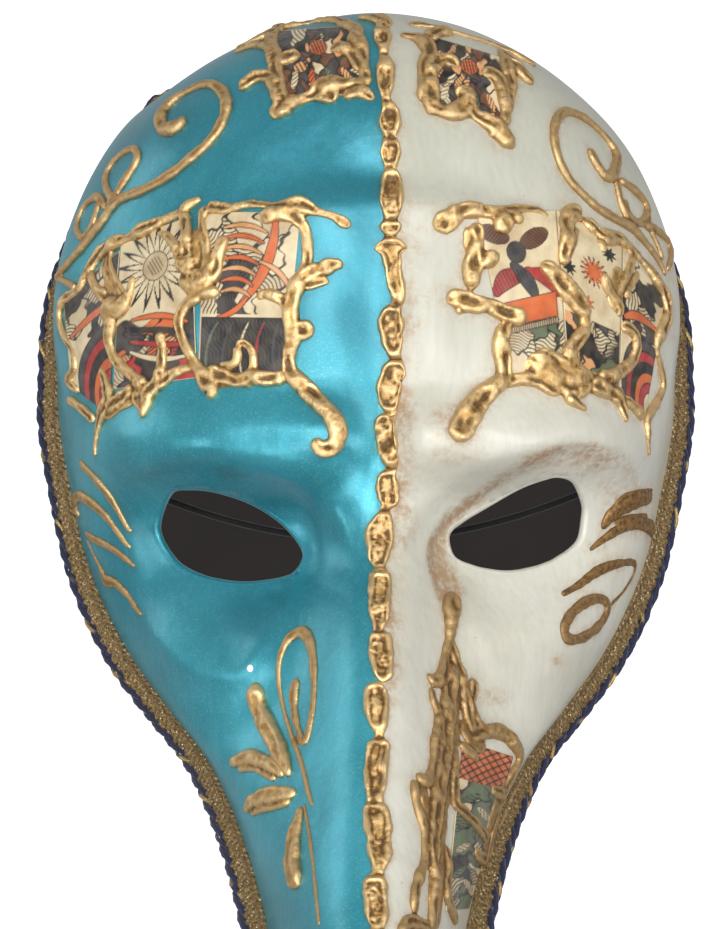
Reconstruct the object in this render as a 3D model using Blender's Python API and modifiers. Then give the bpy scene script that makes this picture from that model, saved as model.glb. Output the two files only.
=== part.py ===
"""A Venetian long-nosed half mask: a papier-mache shell, piped gesso relief, pasted paper cards, a
braid and a twisted cord round the rim, a felt lining and an elastic.

Lengths in this file are millimetres until a mesh is made. +Z is up, the face looks towards -Y, and the
origin is midway between the eyes. "Forward" is the distance towards -Y."""

import math

import bmesh
import bpy
import numpy as np
from mathutils import Vector
from mathutils.bvhtree import BVHTree

MM = 0.001
NAME = "plague_doctor_mask"

# Driving dimensions
WALL = 2.5  # papier-mache shell
LINING_GAP = 1.0
LINING = 1.0
CARD = 0.4
BRAID_WIDTH = 5.0
BRAID_INSIDE = 2.0  # how far the braid reaches in from the rim
BRAID_THICK = 1.5
BRAID_GAP = 0.9
CORD_RADIUS = 1.6
ELASTIC_RADIUS = 1.0
ELASTIC_SAG = 21.0
ELASTIC_BOW = 14.0
TAB = (13.0, 1.2, 10.0)
GAP = 0.8  # between the shell and what is stuck on it
OVER_CARD = 1.6  # the same where a card lies between
GESSO = 2.4  # height of the piped relief
BEAD_STEP = 0.12  # beads that run together differ by this in height, so no two faces coincide
LEAN = 3.0  # the modelled centre line leans this far to +X on the forehead
EYES = ((-36.0, -1.5), (39.5, 1.5))  # socket centres
ROWS, COLUMNS = 28, 32  # cells of the shell along and across
STROKE_STEP = 5.5

# Sections of the shell from the crown's back edge to the beak's tip: the ridge (forward, up), the same
# point without the nose, the rim (half width, forward, up), the section's bow, the share of the beak's
# straight-sided shape and the width of the nose root.
SECTIONS = (
    (-46, 133, -46, 133, 58, -46, 117, 0.75, 0, 12),
    (-33, 138, -33, 138, 68.5, -44.5, 104, 0.80, 0, 12),
    (-14, 137, -14, 137, 76, -43, 90.5, 0.86, 0, 12),
    (4, 128, 4, 128, 81, -41.5, 77, 0.90, 0, 12),
    (16, 112, 16, 112, 84, -40, 64, 0.93, 0, 12),
    (22, 92, 22, 92, 85, -38.5, 52, 0.95, 0, 12),
    (25, 70, 25, 70, 85, -37, 41, 0.96, 0, 12),
    (26.5, 48, 26.5, 48, 85, -35.5, 30, 0.965, 0, 12),
    (27.5, 28, 27, 28, 83.3, -33.5, 19, 0.97, 0, 12),
    (30, 12, 26, 12, 80.8, -31, 8, 0.97, 0, 13),
    (37, -3, 25, -4, 77.8, -28, -5, 0.97, 0, 14),
    (48, -19, 24, -20, 72.3, -22.5, -19, 0.96, 0.1, 16),
    (61, -38, 23, -38, 64, -14.5, -33, 0.95, 0.25, 18),
    (76, -57, 25, -55, 53.5, -4, -45, 0.94, 0.45, 20),
    (91, -75, 32, -69, 41, 10, -58, 0.93, 0.7, 20),
    (105, -92, 43, -82, 31, 30, -75, 0.92, 0.9, 20),
    (118, -110, 57, -97, 24, 52, -94, 0.92, 1, 20),
    (129, -129, 77, -117, 19, 76, -116, 0.92, 1, 20),
    (135.5, -147, 98.5, -136, 14, 98, -136, 0.92, 1, 20),
    (136, -159, 114.5, -150, 9.5, 114, -150, 0.92, 1, 20),
    (131, -167, 124.5, -160, 6, 124, -160, 0.92, 1, 20),
)

# The decoration is laid out on the eye plane as a viewer in front sees it, and projected on the shell.
VIEWER = Vector((-1.6, -600.0, 17.0))

parts = bpy.data.collections.new(NAME)
guides = bpy.data.collections.new("cutters_and_guides")


def start():
    for thing in list(bpy.data.objects):
        bpy.data.objects.remove(thing, do_unlink=True)
    for collection in (parts, guides):
        bpy.context.scene.collection.children.link(collection)


def material(name, color, roughness, metallic=0.0):
    made = bpy.data.materials.new(name)
    made.use_nodes = True
    shader = made.node_tree.nodes["Principled BSDF"]
    shader.inputs["Base Color"].default_value = (*color, 1.0)
    shader.inputs["Roughness"].default_value = roughness
    shader.inputs["Metallic"].default_value = metallic
    return made


def curve_through(points, t):
    """The smooth curve through points at t, which counts the points from 0."""
    last = len(points) - 1
    i = min(int(t), last - 1)
    f = t - i
    a, b = np.array(points[i], float), np.array(points[i + 1], float)
    before = np.array(points[i - 1], float) if i > 0 else 2 * a - b
    after = np.array(points[i + 2], float) if i + 2 <= last else 2 * b - a
    return a + 0.5 * f * (
        b - before + f * (2 * before - 5 * a + 4 * b - after + f * (3 * (a - b) + after - before))
    )


def bump(x, width):
    return math.exp(-((x / width) ** 2))


def rise(x, width):
    """From 0 to 1 over about four widths centred on x = 0."""
    return 0.5 + 0.5 * math.tanh(x / width)


def features(x, z):
    """Forward push of the brow, furrow, sockets and cheekbones on the plain shell."""
    side = abs(x - LEAN)
    top = 86 - 0.0035 * side**2
    push = 4.5 * rise(top - z, 3) * rise(z - 20, 12)
    push -= 2.5 * bump(side, 9) * rise(z - 30, 12) * rise(84 - z, 8)
    ridge = 25 - 0.0022 * (side - 30) ** 2
    push += 7.5 * bump(z - ridge, 9) * rise(80 - side, 8) * rise(side - 6, 6)
    for eye_x, eye_z in EYES:
        push -= 13 * bump(x - eye_x, 27) * bump(z - eye_z, 16)
        push += 4.5 * bump(x - 1.1 * eye_x, 22) * bump(z - eye_z + 29, 10)
        push -= 2.5 * bump(x - 1.75 * eye_x, 9) * bump(z - eye_z + 24, 12)
    return push


def shell_point(t, u):
    """The outer surface at section t and at u from -1 (left rim) to 1 (right rim)."""
    ridge_f, ridge_z, face_f, face_z, rim_x, rim_f, rim_z, bow, beak, root = curve_through(SECTIONS, t)
    q = math.sin(math.pi / 2 * abs(u) ** 1.3)
    flat = math.sqrt(1 - bow**2)
    arch = (math.sqrt(1 - (bow * q) ** 2) - flat) / (1 - flat)
    wedge = 1 - (math.hypot(q, 0.3) - 0.3) / (math.hypot(1, 0.3) - 0.3)
    nose = beak * wedge + (1 - beak) * bump(rim_x * q, root)
    x = math.copysign(rim_x * q, u) + LEAN * (1 - q**2) * (1 - beak) * min(1, t / 2)
    forward = rim_f + (face_f - rim_f) * arch + (ridge_f - face_f) * nose
    z = rim_z + (face_z - rim_z) * arch + (ridge_z - face_z) * nose
    return Vector((x, -forward - features(x, z) * (1 - q**6), z))


def lengths_along(places):
    return np.concatenate([[0], np.cumsum(np.linalg.norm(np.diff(np.array(places), axis=0), axis=1))])


def ridge_stations(count):
    """Values of t that are evenly spaced along the ridge."""
    fine = np.linspace(0, len(SECTIONS) - 1, 400)
    ridge = np.array([shell_point(t, 0) for t in fine])
    along = lengths_along(ridge)
    return np.interp(np.linspace(0, along[-1], count), along, fine)


def grid_faces(rows, columns, downwards=False):
    """Quads of a grid whose rows follow each other upwards or downwards, seen from in front."""
    faces = [
        (i * columns + j, i * columns + j + 1, (i + 1) * columns + j + 1, (i + 1) * columns + j)
        for i in range(rows - 1)
        for j in range(columns - 1)
    ]
    return [face[::-1] for face in faces] if downwards else faces


def add_mesh(name, points, faces, look=None, smooth=40):
    """A mesh object from points in millimetres."""
    mesh = bpy.data.meshes.new(name)
    mesh.from_pydata([tuple(Vector(p) * MM) for p in points], [], faces)
    mesh.validate()
    made = bpy.data.objects.new(name, mesh)
    if look is None:
        guides.objects.link(made)
        made.hide_render = True
        made.display_type = "WIRE"
    else:
        parts.objects.link(made)
        mesh.materials.append(look)
        mesh.shade_smooth()
        mesh.set_sharp_from_angle(angle=math.radians(smooth))
    return made


def outward(made):
    """Turns a closed mesh's faces outwards."""
    shape = bmesh.new()
    shape.from_mesh(made.data)
    bmesh.ops.recalc_face_normals(shape, faces=shape.faces)
    shape.to_mesh(made.data)
    shape.free()


def tube(name, points, radius, look, closed=False, sides=2):
    """A round tube through points in millimetres."""
    curve = bpy.data.curves.new(name, "CURVE")
    curve.dimensions = "3D"
    curve.bevel_depth = radius * MM
    curve.bevel_resolution = sides
    curve.use_fill_caps = not closed
    spline = curve.splines.new("POLY")
    spline.points.add(len(points) - 1)
    for point, place in zip(spline.points, points):
        point.co = (*(Vector(place) * MM), 1.0)
    spline.use_cyclic_u = closed
    curve.materials.append(look)
    made = bpy.data.objects.new(name, curve)
    parts.objects.link(made)
    return made


def boolean(target, operation, other=None, group=None):
    cut = target.modifiers.new(operation.lower(), "BOOLEAN")
    cut.operation = operation
    cut.solver = "EXACT"
    if group is None:
        cut.object = other
    else:
        cut.operand_type = "COLLECTION"
        cut.collection = group


class Shell:
    """The shell's outer grid, which everything stuck on the mask is fitted to."""

    def __init__(self):
        self.t = ridge_stations(ROWS + 1)
        self.u = np.linspace(-1, 1, COLUMNS + 1)
        self.points = [shell_point(t, u) for t in self.t for u in self.u]
        self.faces = grid_faces(ROWS + 1, COLUMNS + 1, downwards=True)
        self.tree = BVHTree.FromPolygons(self.points, self.faces)
        guide = add_mesh("shell_guide", self.points, self.faces)
        self.normals = [Vector(v.normal) for v in guide.data.vertices]

    def at(self, a, b, lift=0.0):
        """The point seen from VIEWER through (a, b) on the eye plane, raised by lift."""
        direction = (Vector((a, 0.0, b)) - VIEWER).normalized()
        place, normal, _, _ = self.tree.ray_cast(VIEWER, direction)
        if place is None:
            beside = VIEWER + direction * (Vector((a, 14.0, b)) - VIEWER).length
            place, normal, _, _ = self.tree.find_nearest(beside)
        if normal.dot(direction) > 0:
            normal = -normal
        return place + normal * lift

    def normal_at(self, point):
        return self.tree.find_nearest(point)[1]

    def near(self, point, lift):
        place, normal, _, _ = self.tree.find_nearest(point)
        return place + normal * lift

    def offset(self, i, j, depth):
        k = i * (COLUMNS + 1) + j
        return self.points[k] - self.normals[k] * depth


def eye_cutter(name, centre, outline, scale):
    """A prism along the view through the eye plane, from well in front of the shell to behind it."""
    count = 28
    loop = [curve_through(outline + outline[:3], 1 + t * len(outline) / count) for t in range(count)]
    rays = []
    for place in loop:
        a, b = np.array(centre) + (place - np.array(centre)) * scale
        rays.append(Vector((a, 0.0, b)) - VIEWER)
    near = [VIEWER + ray * 0.9 for ray in rays]
    far = [VIEWER + ray * 1.08 for ray in rays]
    sides = [(k, (k + 1) % count, count + (k + 1) % count, count + k) for k in range(count)]
    caps = [tuple(range(count - 1, -1, -1)), tuple(range(count, 2 * count))]
    made = add_mesh(name, near + far, sides + caps)
    outward(made)
    return made


def cut_eyes(target, scale=1.0):
    for side, centre, outline in (("left", EYES[0], LEFT_EYE), ("right", EYES[1], RIGHT_EYE)):
        boolean(target, "DIFFERENCE", eye_cutter(f"{target.name}_{side}_eye_cutter", centre, outline, scale))


# Almond eye holes: points round each opening, on the eye plane.
LEFT_EYE = [
    (-54.3, 1.6), (-51, 9.1), (-45.8, 10.1), (-39.3, 9.4), (-30.2, 6.5), (-22.4, 1.8), (-17.7, -3.4),
    (-16.9, -6.5), (-18.5, -9.9), (-22.4, -12.2), (-31.5, -13.5), (-40.6, -12.5), (-48.4, -9.4),
    (-53, -3.9),
]  # fmt: skip
RIGHT_EYE = [
    (22.1, -0.8), (25.7, 2.6), (32.2, 6.2), (40, 10.4), (46.5, 12.7), (50.4, 13.3), (54.3, 11.7),
    (57, 6.5), (57, 2.6), (55.6, -3.4), (50.4, -7.3), (45.2, -9.4), (37.4, -10.7), (29.6, -9.6),
    (23.4, -6.8),
]  # fmt: skip


def make_shell(shell, paint):
    made = add_mesh("mask_shell", shell.points, shell.faces, paint)
    wall = made.modifiers.new("wall", "SOLIDIFY")
    wall.thickness = WALL * MM
    wall.offset = -1.0
    cut_eyes(made)


def make_lining(shell, felt):
    """Felt behind the forehead and cheeks, on the shell's own grid so that the gap stays even."""
    rows = [i for i, t in enumerate(shell.t) if 0.8 < t < 12.2]
    columns = [j for j, u in enumerate(shell.u) if abs(u) < 0.8]
    points = [shell.offset(i, j, WALL + LINING_GAP) for i in rows for j in columns]
    made = add_mesh("felt_lining", points, grid_faces(len(rows), len(columns), downwards=True), felt)
    pile = made.modifiers.new("felt", "SOLIDIFY")
    pile.thickness = LINING * MM
    pile.offset = -1.0
    cut_eyes(made, 1.12)


def rim_frames(shell):
    """Round the rim: the edge point, the way into the surface and the outward normal."""
    wide = COLUMNS + 1
    loop = [(0, j) for j in range(0, COLUMNS, 2)]
    loop += [(i, COLUMNS) for i in range(ROWS)]
    loop += [(ROWS, COLUMNS - j) for j in range(0, COLUMNS, 8)]
    loop += [(ROWS - i, 0) for i in range(ROWS)]
    places = [shell.points[i * wide + j] for i, j in loop]
    deep = COLUMNS // 4
    frames = []
    for k, (i, j) in enumerate(loop):
        along = (places[(k + 1) % len(loop)] - places[k - 1]).normalized()
        normal = shell.normals[i * wide + j]
        inward = normal.cross(along).normalized()
        inner = shell.points[min(max(i, 3), ROWS - 3) * wide + min(max(j, deep), COLUMNS - deep)]
        if inward.dot(inner - places[k]) < 0:
            inward = -inward
        frames.append((places[k], inward, normal))
    return frames


def ring_faces(count, section):
    """Quads of a closed ring of sections."""
    return [
        (k * section + s, k * section + (s + 1) % section,
         (k + 1) % count * section + (s + 1) % section, (k + 1) % count * section + s)
        for k in range(count)
        for s in range(section)
    ]  # fmt: skip


def make_edging(shell, gold, navy):
    """The braid is glued along the rim and stands out from it like a narrow flange; the twisted cord
    runs along the braid's outer edge."""
    frames = rim_frames(shell)
    points, centre = [], []
    for k, (edge, inward, normal) in enumerate(frames):
        along = (frames[(k + 1) % len(frames)][0] - frames[k - 1][0]).normalized()
        aside = Vector((edge.x, 0.0, edge.z - min(max(edge.z, -150.0), 70.0))).normalized()
        sideways = 0.55 * (1 - rise(edge.z - 70, 15))
        flange = aside * sideways - inward * (1 - sideways)
        flange = (flange - along * flange.dot(along)).normalized()
        front = flange.cross(along).normalized()
        if front.dot(normal) < 0:
            front = -front
        inner = shell.near(edge + inward * BRAID_INSIDE, BRAID_GAP)
        outer = edge + normal * BRAID_GAP + flange * (BRAID_WIDTH - BRAID_INSIDE)
        points += [inner, inner + front * BRAID_THICK, outer + front * BRAID_THICK, outer]
        beyond = BRAID_WIDTH - BRAID_INSIDE + 0.4 + CORD_RADIUS
        centre.append(edge + normal * (BRAID_GAP + BRAID_THICK / 2) + flange * beyond)
    outward(add_mesh("gold_braid", points, ring_faces(len(frames), 4), gold))
    tube("navy_edge_cord", centre, CORD_RADIUS, navy, closed=True, sides=1)


def stroke_route(shell, points):
    """(a, b, half width) along the smooth curve through points, evenly spaced on the shell."""
    t = np.linspace(0, len(points) - 1, 30 * len(points))
    fine = np.array([curve_through(points, v) for v in t])
    along = lengths_along([shell.at(a, b) for a, b, _ in fine])
    count = max(3, round(along[-1] / STROKE_STEP) + 1)
    even = np.linspace(0, along[-1], count)
    return np.stack([np.interp(even, along, fine[:, k]) for k in range(3)], axis=1)


ARCH = ((-1.0, 0.0), (-0.72, 0.75), (0.0, 1.0), (0.72, 0.75), (1.0, 0.0))
BEAD = (*ARCH, (0.0, 0.0))  # the arch, with a point under its middle to follow the shell


def stroke(shell, name, points, gap, look=None):
    """A bead of gesso: a rounded section swept along the points (a, b, half width)."""
    section = BEAD if gap < OVER_CARD else ARCH
    route = stroke_route(shell, points)
    line = [shell.at(a, b) for a, b, _ in route]
    places = []
    for k, (_, _, half) in enumerate(route):
        ahead, behind = line[min(k + 1, len(line) - 1)], line[max(k - 1, 0)]
        sideways = (ahead - behind).cross(shell.normal_at(line[k])).normalized()
        end = 0.45 if k in (0, len(line) - 1) else 1.0
        for across, up in section:
            height = up * end * min(GESSO, 1.1 * half)
            places.append(shell.near(line[k] - sideways * across * half * end, gap + height))
    count, around = len(route), len(section)
    faces = [
        (k * around + s, k * around + (s + 1) % around,
         (k + 1) * around + (s + 1) % around, (k + 1) * around + s)
        for k in range(count - 1)
        for s in range(around)
    ]  # fmt: skip
    faces += [tuple(range(around - 1, -1, -1)), tuple(range((count - 1) * around, count * around))]
    made = add_mesh(name, places, faces, look, smooth=60)
    outward(made)
    return made


def relief(shell, name, strokes, look, gap=GAP):
    """Several beads that run together, as one piece."""
    main = stroke(shell, name, strokes[0], gap, look)
    if len(strokes) > 1:
        group = bpy.data.collections.new(name + "_beads")
        guides.children.link(group)
        for k, points in enumerate(strokes[1:]):
            bead = stroke(shell, f"{name}_bead_{k}", points, gap + BEAD_STEP * (1 + k % 4))
            guides.objects.unlink(bead)
            group.objects.link(bead)
        boolean(main, "UNION", group=group)


def card(shell, name, corners, look, cells):
    """A thin paper card from its corners on the eye plane: lower left, lower right, upper right, left."""
    lower_left, lower_right, upper_right, upper_left = (np.array(c, float) for c in corners)
    across, up = cells
    points = []
    for i in range(up + 1):
        for j in range(across + 1):
            u, v = j / across, i / up
            low = lower_left + (lower_right - lower_left) * u
            high = upper_left + (upper_right - upper_left) * u
            a, b = low + (high - low) * v
            points.append(shell.at(a, b, GAP))
    made = add_mesh(name, points, grid_faces(up + 1, across + 1), look)
    paper = made.modifiers.new("paper", "SOLIDIFY")
    paper.thickness = CARD * MM
    paper.offset = 1.0


# Beads of gesso on the eye plane: (across, up, half width) along each. The first bead of a piece is its
# longest, and the others run into it.
RELIEF = {
    "crown_chain": [
        [(5, 134, 2.6), (5, 130, 3.4), (5.5, 122, 3.3), (6, 117, 3.6), (6.5, 112, 2.8),
         (7, 106.5, 3.6), (6.5, 102, 2.6), (6, 97.5, 3.4), (6, 93, 2.6)],
    ],
    "brow_chain": [
        [(6.5, 92, 2.6), (6, 87, 3.6), (6.5, 81, 2.6), (7, 77.5, 2.6), (7, 73.5, 5), (7.5, 68, 2.4),
         (7.5, 60, 2.2), (5.5, 52, 3.6), (5.5, 43.5, 2.6), (5, 36.5, 3.6), (5, 29, 2.6)],
    ],
    "nose_chain": [
        [(5, 27.5, 2.8), (5, 22, 3.4), (4.5, 16, 2.4), (4.5, 10.5, 3.4), (4, 5, 2.6), (3.5, -2.5, 3.6),
         (3.5, -10.5, 2.6), (3.5, -18, 3.4), (3.5, -26, 2.6), (3, -33.5, 3.4), (3, -39.5, 2.6)],
    ],
    "beak_chain": [
        [(3, -41, 2.6), (2.5, -47.5, 3.4), (2.5, -54, 2.6), (2.5, -63, 3.5), (2.5, -71.5, 2.6),
         (3, -80.5, 3.5), (2.5, -89.5, 2.6), (2, -96.5, 3.4), (1.5, -103.5, 2.6), (1.5, -112, 3.2),
         (1, -118.5, 1.8)],
    ],
    "left_brow_frame": [
        [(-75, 41, 2.4), (-75.5, 52, 2.6), (-73.5, 63, 2.8), (-69.5, 69.5, 2.6), (-63.5, 75.5, 2.6),
         (-53.5, 80, 2.8), (-44.5, 83.5, 2.6)],
        [(-48, 81.5, 2.2), (-35.5, 84, 2.4), (-23.5, 84.5, 2.6), (-14.5, 82.5, 2.8), (-9, 82, 2.6),
         (-3.5, 79.5, 2)],
        [(-74.5, 44.5, 2), (-73, 35, 2.6), (-69.5, 23.5, 1.6)],
        [(-75.5, 37, 2), (-66.5, 34, 2.6), (-56, 37.5, 2.6), (-48.5, 41, 2.4), (-42, 39.5, 2.6),
         (-41, 34, 1.6)],
        [(-45, 42.5, 2), (-34, 38.5, 2.6), (-25, 39.5, 2.8), (-19, 37, 3), (-12.5, 31, 3.2),
         (-8.5, 26, 3.4), (-10, 21, 2.6)],
        [(-17, 74.5, 2.2), (-18, 62.5, 2.6), (-19, 52, 2.4), (-22, 42.5, 2.6), (-21.5, 35, 2.2)],
        [(-20, 61, 2), (-11.5, 63, 2.4), (-5.5, 68, 2)],
        [(-21, 53, 2), (-15, 49.5, 2.6), (-12.5, 52, 1.8)],
        [(-47, 84, 2.2), (-45, 73, 2.6), (-42, 63.5, 2.4), (-48.5, 54.5, 2.6), (-44, 46.5, 2.4),
         (-47.5, 38, 2)],
        [(-66, 75, 2), (-64, 62.5, 2.6), (-68, 54.5, 2.4), (-63.5, 47, 2.6), (-65, 32, 2)],
        [(-14, 85, 2), (-13, 76.5, 2.2), (-18.5, 70.5, 2)],
        [(-55.5, 39.5, 2), (-57.5, 29.5, 1.4)],
    ],
    "right_brow_frame": [
        [(16, 78.5, 2.2), (20.5, 81, 2.6), (27, 83.5, 2.6), (37.5, 83.5, 2.4), (48, 82.5, 2.6),
         (58, 79.5, 2.6), (66.5, 73, 2.6), (73, 62.5, 2.6), (75.5, 49.5, 2.2)],
        [(26.5, 85.5, 2.2), (28, 74, 2.4), (29.5, 65, 2.6), (35, 56.5, 2.6), (38, 47, 2.4),
         (36.5, 38, 2)],
        [(21, 60, 2.4), (25.5, 59, 2.8), (32, 61.5, 2)],
        [(39.5, 42.5, 2.2), (33.5, 37, 3), (27, 31.5, 3.2), (24, 25.5, 3.2), (26, 22.5, 2.4)],
        [(35, 41, 2.2), (46.5, 39.5, 2.6), (57, 36.5, 2.6), (66, 33, 2.6), (72.5, 31, 2.4),
         (75, 41.5, 2.4), (75, 52, 2.2)],
        [(47, 85, 2), (49.5, 73, 2.6), (47.5, 62.5, 2.4), (51, 52, 2.6), (49, 37, 2)],
        [(65, 76, 2), (63, 62.5, 2.6), (66.5, 52, 2.4), (64.5, 31, 2)],
        [(57.5, 38.5, 2), (56.5, 30, 1.4)],
        [(71, 33, 2), (73, 22, 1.4)],
        [(31, 62.5, 2), (35.5, 54, 2.4), (43, 55, 2)],
    ],
    "left_crown_frame": [
        [(-23.5, 126, 2.4), (-25, 118.5, 2.6), (-21, 110.5, 2.8), (-12.5, 112, 2.6),
         (-4.5, 112.5, 2.8), (-1, 117.5, 2.6), (-1.5, 126, 2.4), (-2.5, 131, 2)],
        [(-25, 122.5, 2), (-20, 127.5, 2.6), (-12, 129.5, 2.6), (-3.5, 128.5, 2)],
        [(-33.5, 124, 1.8), (-29, 125, 2.2), (-22.5, 123, 2)],
        [(-33, 114.5, 2), (-28.5, 116.5, 2.6), (-23.5, 115.5, 2)],
        [(-19, 112.5, 2), (-23.5, 107, 2.6)],
        [(-11, 114, 2), (-9, 108, 1.8)],
        [(-3.5, 123, 2), (0.5, 121.5, 1.6)],
    ],
    "right_crown_frame": [
        [(10.5, 126.5, 2.2), (17, 127.5, 2.6), (26.5, 126.5, 2.6), (34, 122.5, 2.6),
         (38.5, 116.5, 2.2)],
        [(18.5, 129, 1.8), (16.5, 119.5, 2.6), (19, 112.5, 2.6), (26.5, 108.5, 2.8), (33, 104.5, 2.8),
         (38, 99.5, 1.6)],
        [(36.5, 122, 2), (37, 114, 2.6), (35, 107.5, 2.4), (29, 106, 2)],
        [(37, 117, 1.8), (42.5, 113, 1.6)],
        [(19, 114, 1.8), (13, 110, 1.8)],
    ],
    "right_cheek_frame": [
        [(22.5, -20, 2.2), (22, -24.5, 2.6), (20.5, -31.5, 2.6), (18, -44, 2.8), (16, -57, 2.8),
         (14.5, -70, 2.8), (13, -83, 2.8), (11.5, -97.5, 2.6), (10, -109, 2)],
        [(19, -29.5, 1.8), (25.5, -41.5, 2.8), (27, -48, 2.8), (23.5, -56, 2.4), (22, -66.5, 2.2),
         (21, -78, 1.8)],
        [(23.5, -41, 2), (28, -47.5, 2.6), (33.5, -53.5, 2.6), (34, -61, 2.4), (31.5, -70, 2.4),
         (27.5, -83, 2.4), (24, -96, 2.2), (22, -105.5, 1.6)],
        [(10.5, -93, 2), (17, -99.5, 2), (24, -96, 1.8)],
    ],
    "left_crown_scroll": [
        [(-67, 79.5, 1.4), (-65, 84, 1.8), (-62.5, 87, 1.9), (-52.5, 93, 1.9), (-43, 100, 1.9),
         (-37.5, 106.5, 1.9), (-36, 112, 1.8), (-39.5, 115.5, 1.8), (-46, 115, 1.8),
         (-51.5, 111.5, 1.9), (-54, 106.5, 2.2), (-51.5, 103, 2.3), (-48, 105.5, 2)],
        [(-64.5, 84, 1.5), (-59.5, 91, 1.6), (-58, 96.5, 1.5), (-62, 99, 1.5), (-65.5, 94, 1.5),
         (-67, 89, 1.3)],
        [(-64, 83.5, 1.5), (-66, 88, 1.5), (-68.5, 86.5, 1.4), (-69, 81, 1.2)],
    ],
    "right_crown_scroll": [
        [(63, 92, 2.4), (64.5, 96.5, 2), (62.5, 101.5, 1.8), (57.5, 105.5, 1.8), (53, 107, 1.8),
         (49.5, 104.5, 1.8), (49.5, 97.5, 1.8), (54.5, 89, 1.8), (61.5, 83.5, 1.8), (67.5, 81, 1.7),
         (71, 76, 1.3)],
        [(64, 82, 1.5), (66, 88, 1.5), (69.5, 86.5, 1.4), (71.5, 80.5, 1.2)],
    ],
    "left_temple_stroke_upper": [
        [(-74.5, 17, 1.2), (-69, 13, 1.8), (-64, 6, 1.5), (-61, 0, 0.9)],
    ],
    "left_temple_stroke_broad": [
        [(-76, 9.5, 2), (-72.5, 6, 2.3), (-66, 1, 1.7), (-61, -4, 1)],
    ],
    "left_temple_stroke_thin": [
        [(-73, -1, 1.2), (-67, -4.5, 1.6), (-60, -9.5, 1)],
    ],
    "left_temple_stroke_lower": [
        [(-69, -10.5, 1.2), (-66, -13, 2), (-62, -17, 1.7), (-59, -21.5, 1)],
    ],
    "right_temple_leaf_upper": [
        [(74.5, 9.5, 1.2), (70, 5.5, 2.2), (65, 2, 1.7), (61.5, 0, 1)],
    ],
    "right_temple_leaf_lower": [
        [(74.5, 1, 1.2), (69.5, -1, 2.2), (64, -2.5, 1.6), (59, -5, 1)],
    ],
    "right_temple_stroke": [
        [(70, -8.5, 1.1), (64, -10, 1.6), (57, -13.5, 1.3), (51, -16.5, 0.9)],
    ],
    "left_nose_spiral": [
        [(-21.5, -31.5, 1), (-21, -41.5, 1.4), (-20, -50.5, 1.5), (-17, -57.5, 1.2), (-14.5, -52, 1.6),
         (-13.5, -41.5, 1.7), (-14, -31, 1.7), (-17, -26.5, 1.6), (-20.5, -30.5, 1.4)],
    ],
    "left_nose_leaf_top": [
        [(-28.5, -39.5, 1.6), (-28, -45.5, 3), (-24.5, -53, 2.8), (-21.5, -57.5, 1.6)],
    ],
    "left_nose_leaf_middle": [
        [(-35, -61, 1.6), (-29.5, -60, 2.6), (-24, -62, 2.2), (-21.5, -64, 1.2)],
    ],
    "left_nose_leaf_lower": [
        [(-30.5, -72, 1.8), (-26.5, -72, 2.8), (-22, -69.5, 2.4), (-18.5, -67.5, 1.4)],
    ],
    "left_nose_leaf_bottom": [
        [(-17.5, -73.5, 1.4), (-20, -80, 2.4), (-20.5, -87.5, 2.8), (-18, -93.5, 1.6)],
    ],
    "left_nose_stem": [
        [(-17.5, -64, 1), (-15.5, -74, 1.1), (-14, -87, 1.1), (-12.5, -102.5, 0.9)],
    ],
}  # fmt: skip

# Frames that lie over the edges of the pasted cards
OVER_CARDS = ("left_brow_frame", "right_brow_frame", "left_crown_frame", "right_crown_frame",
              "right_cheek_frame")  # fmt: skip

# Pasted cards: corners on the eye plane (lower left, lower right, upper right, upper left) and cells.
CARDS = {
    "left_brow_card_inner": (((-42, 41), (-21, 41.5), (-17, 80.5), (-43, 80.5)), (4, 6)),
    "left_brow_card_middle": (((-65, 38), (-43, 41), (-44, 80), (-63, 73)), (4, 6)),
    "left_brow_card_outer": (((-76, 39), (-66, 38), (-64.5, 71), (-77, 60)), (3, 6)),
    "right_brow_card_inner": (((38.5, 42), (49.5, 42), (48, 80.5), (29, 80.5)), (4, 6)),
    "right_brow_card_middle": (((50.5, 42), (64.5, 37.5), (65, 72), (49, 80)), (3, 6)),
    "right_brow_card_outer": (((65.5, 37), (73.5, 31.5), (76, 58), (66, 71)), (3, 6)),
    "left_crown_card": (((-21, 112.5), (-3.5, 113.5), (-2, 127), (-21, 127)), (5, 5)),
    "right_crown_card": (((18.5, 108), (33.5, 107), (36, 120), (18, 127)), (4, 6)),
    "right_cheek_card": (((13.5, -98), (21, -97), (32, -62), (27, -50)), (3, 8)),
}


def make_ring(shell, name, centre, radii, turn, half, look):
    """A closed oval bead."""
    count = 20
    points = []
    for k in range(count):
        angle = 2 * math.pi * k / count
        for across, up in BEAD:
            u = (radii[0] + across * half) * math.cos(angle)
            v = (radii[1] + across * half) * math.sin(angle)
            a = centre[0] + u * math.cos(turn) - v * math.sin(turn)
            b = centre[1] + u * math.sin(turn) + v * math.cos(turn)
            points.append(shell.at(a, b, GAP + up * 1.8))
    outward(add_mesh(name, points, ring_faces(count, len(BEAD)), look, smooth=60))


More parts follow.
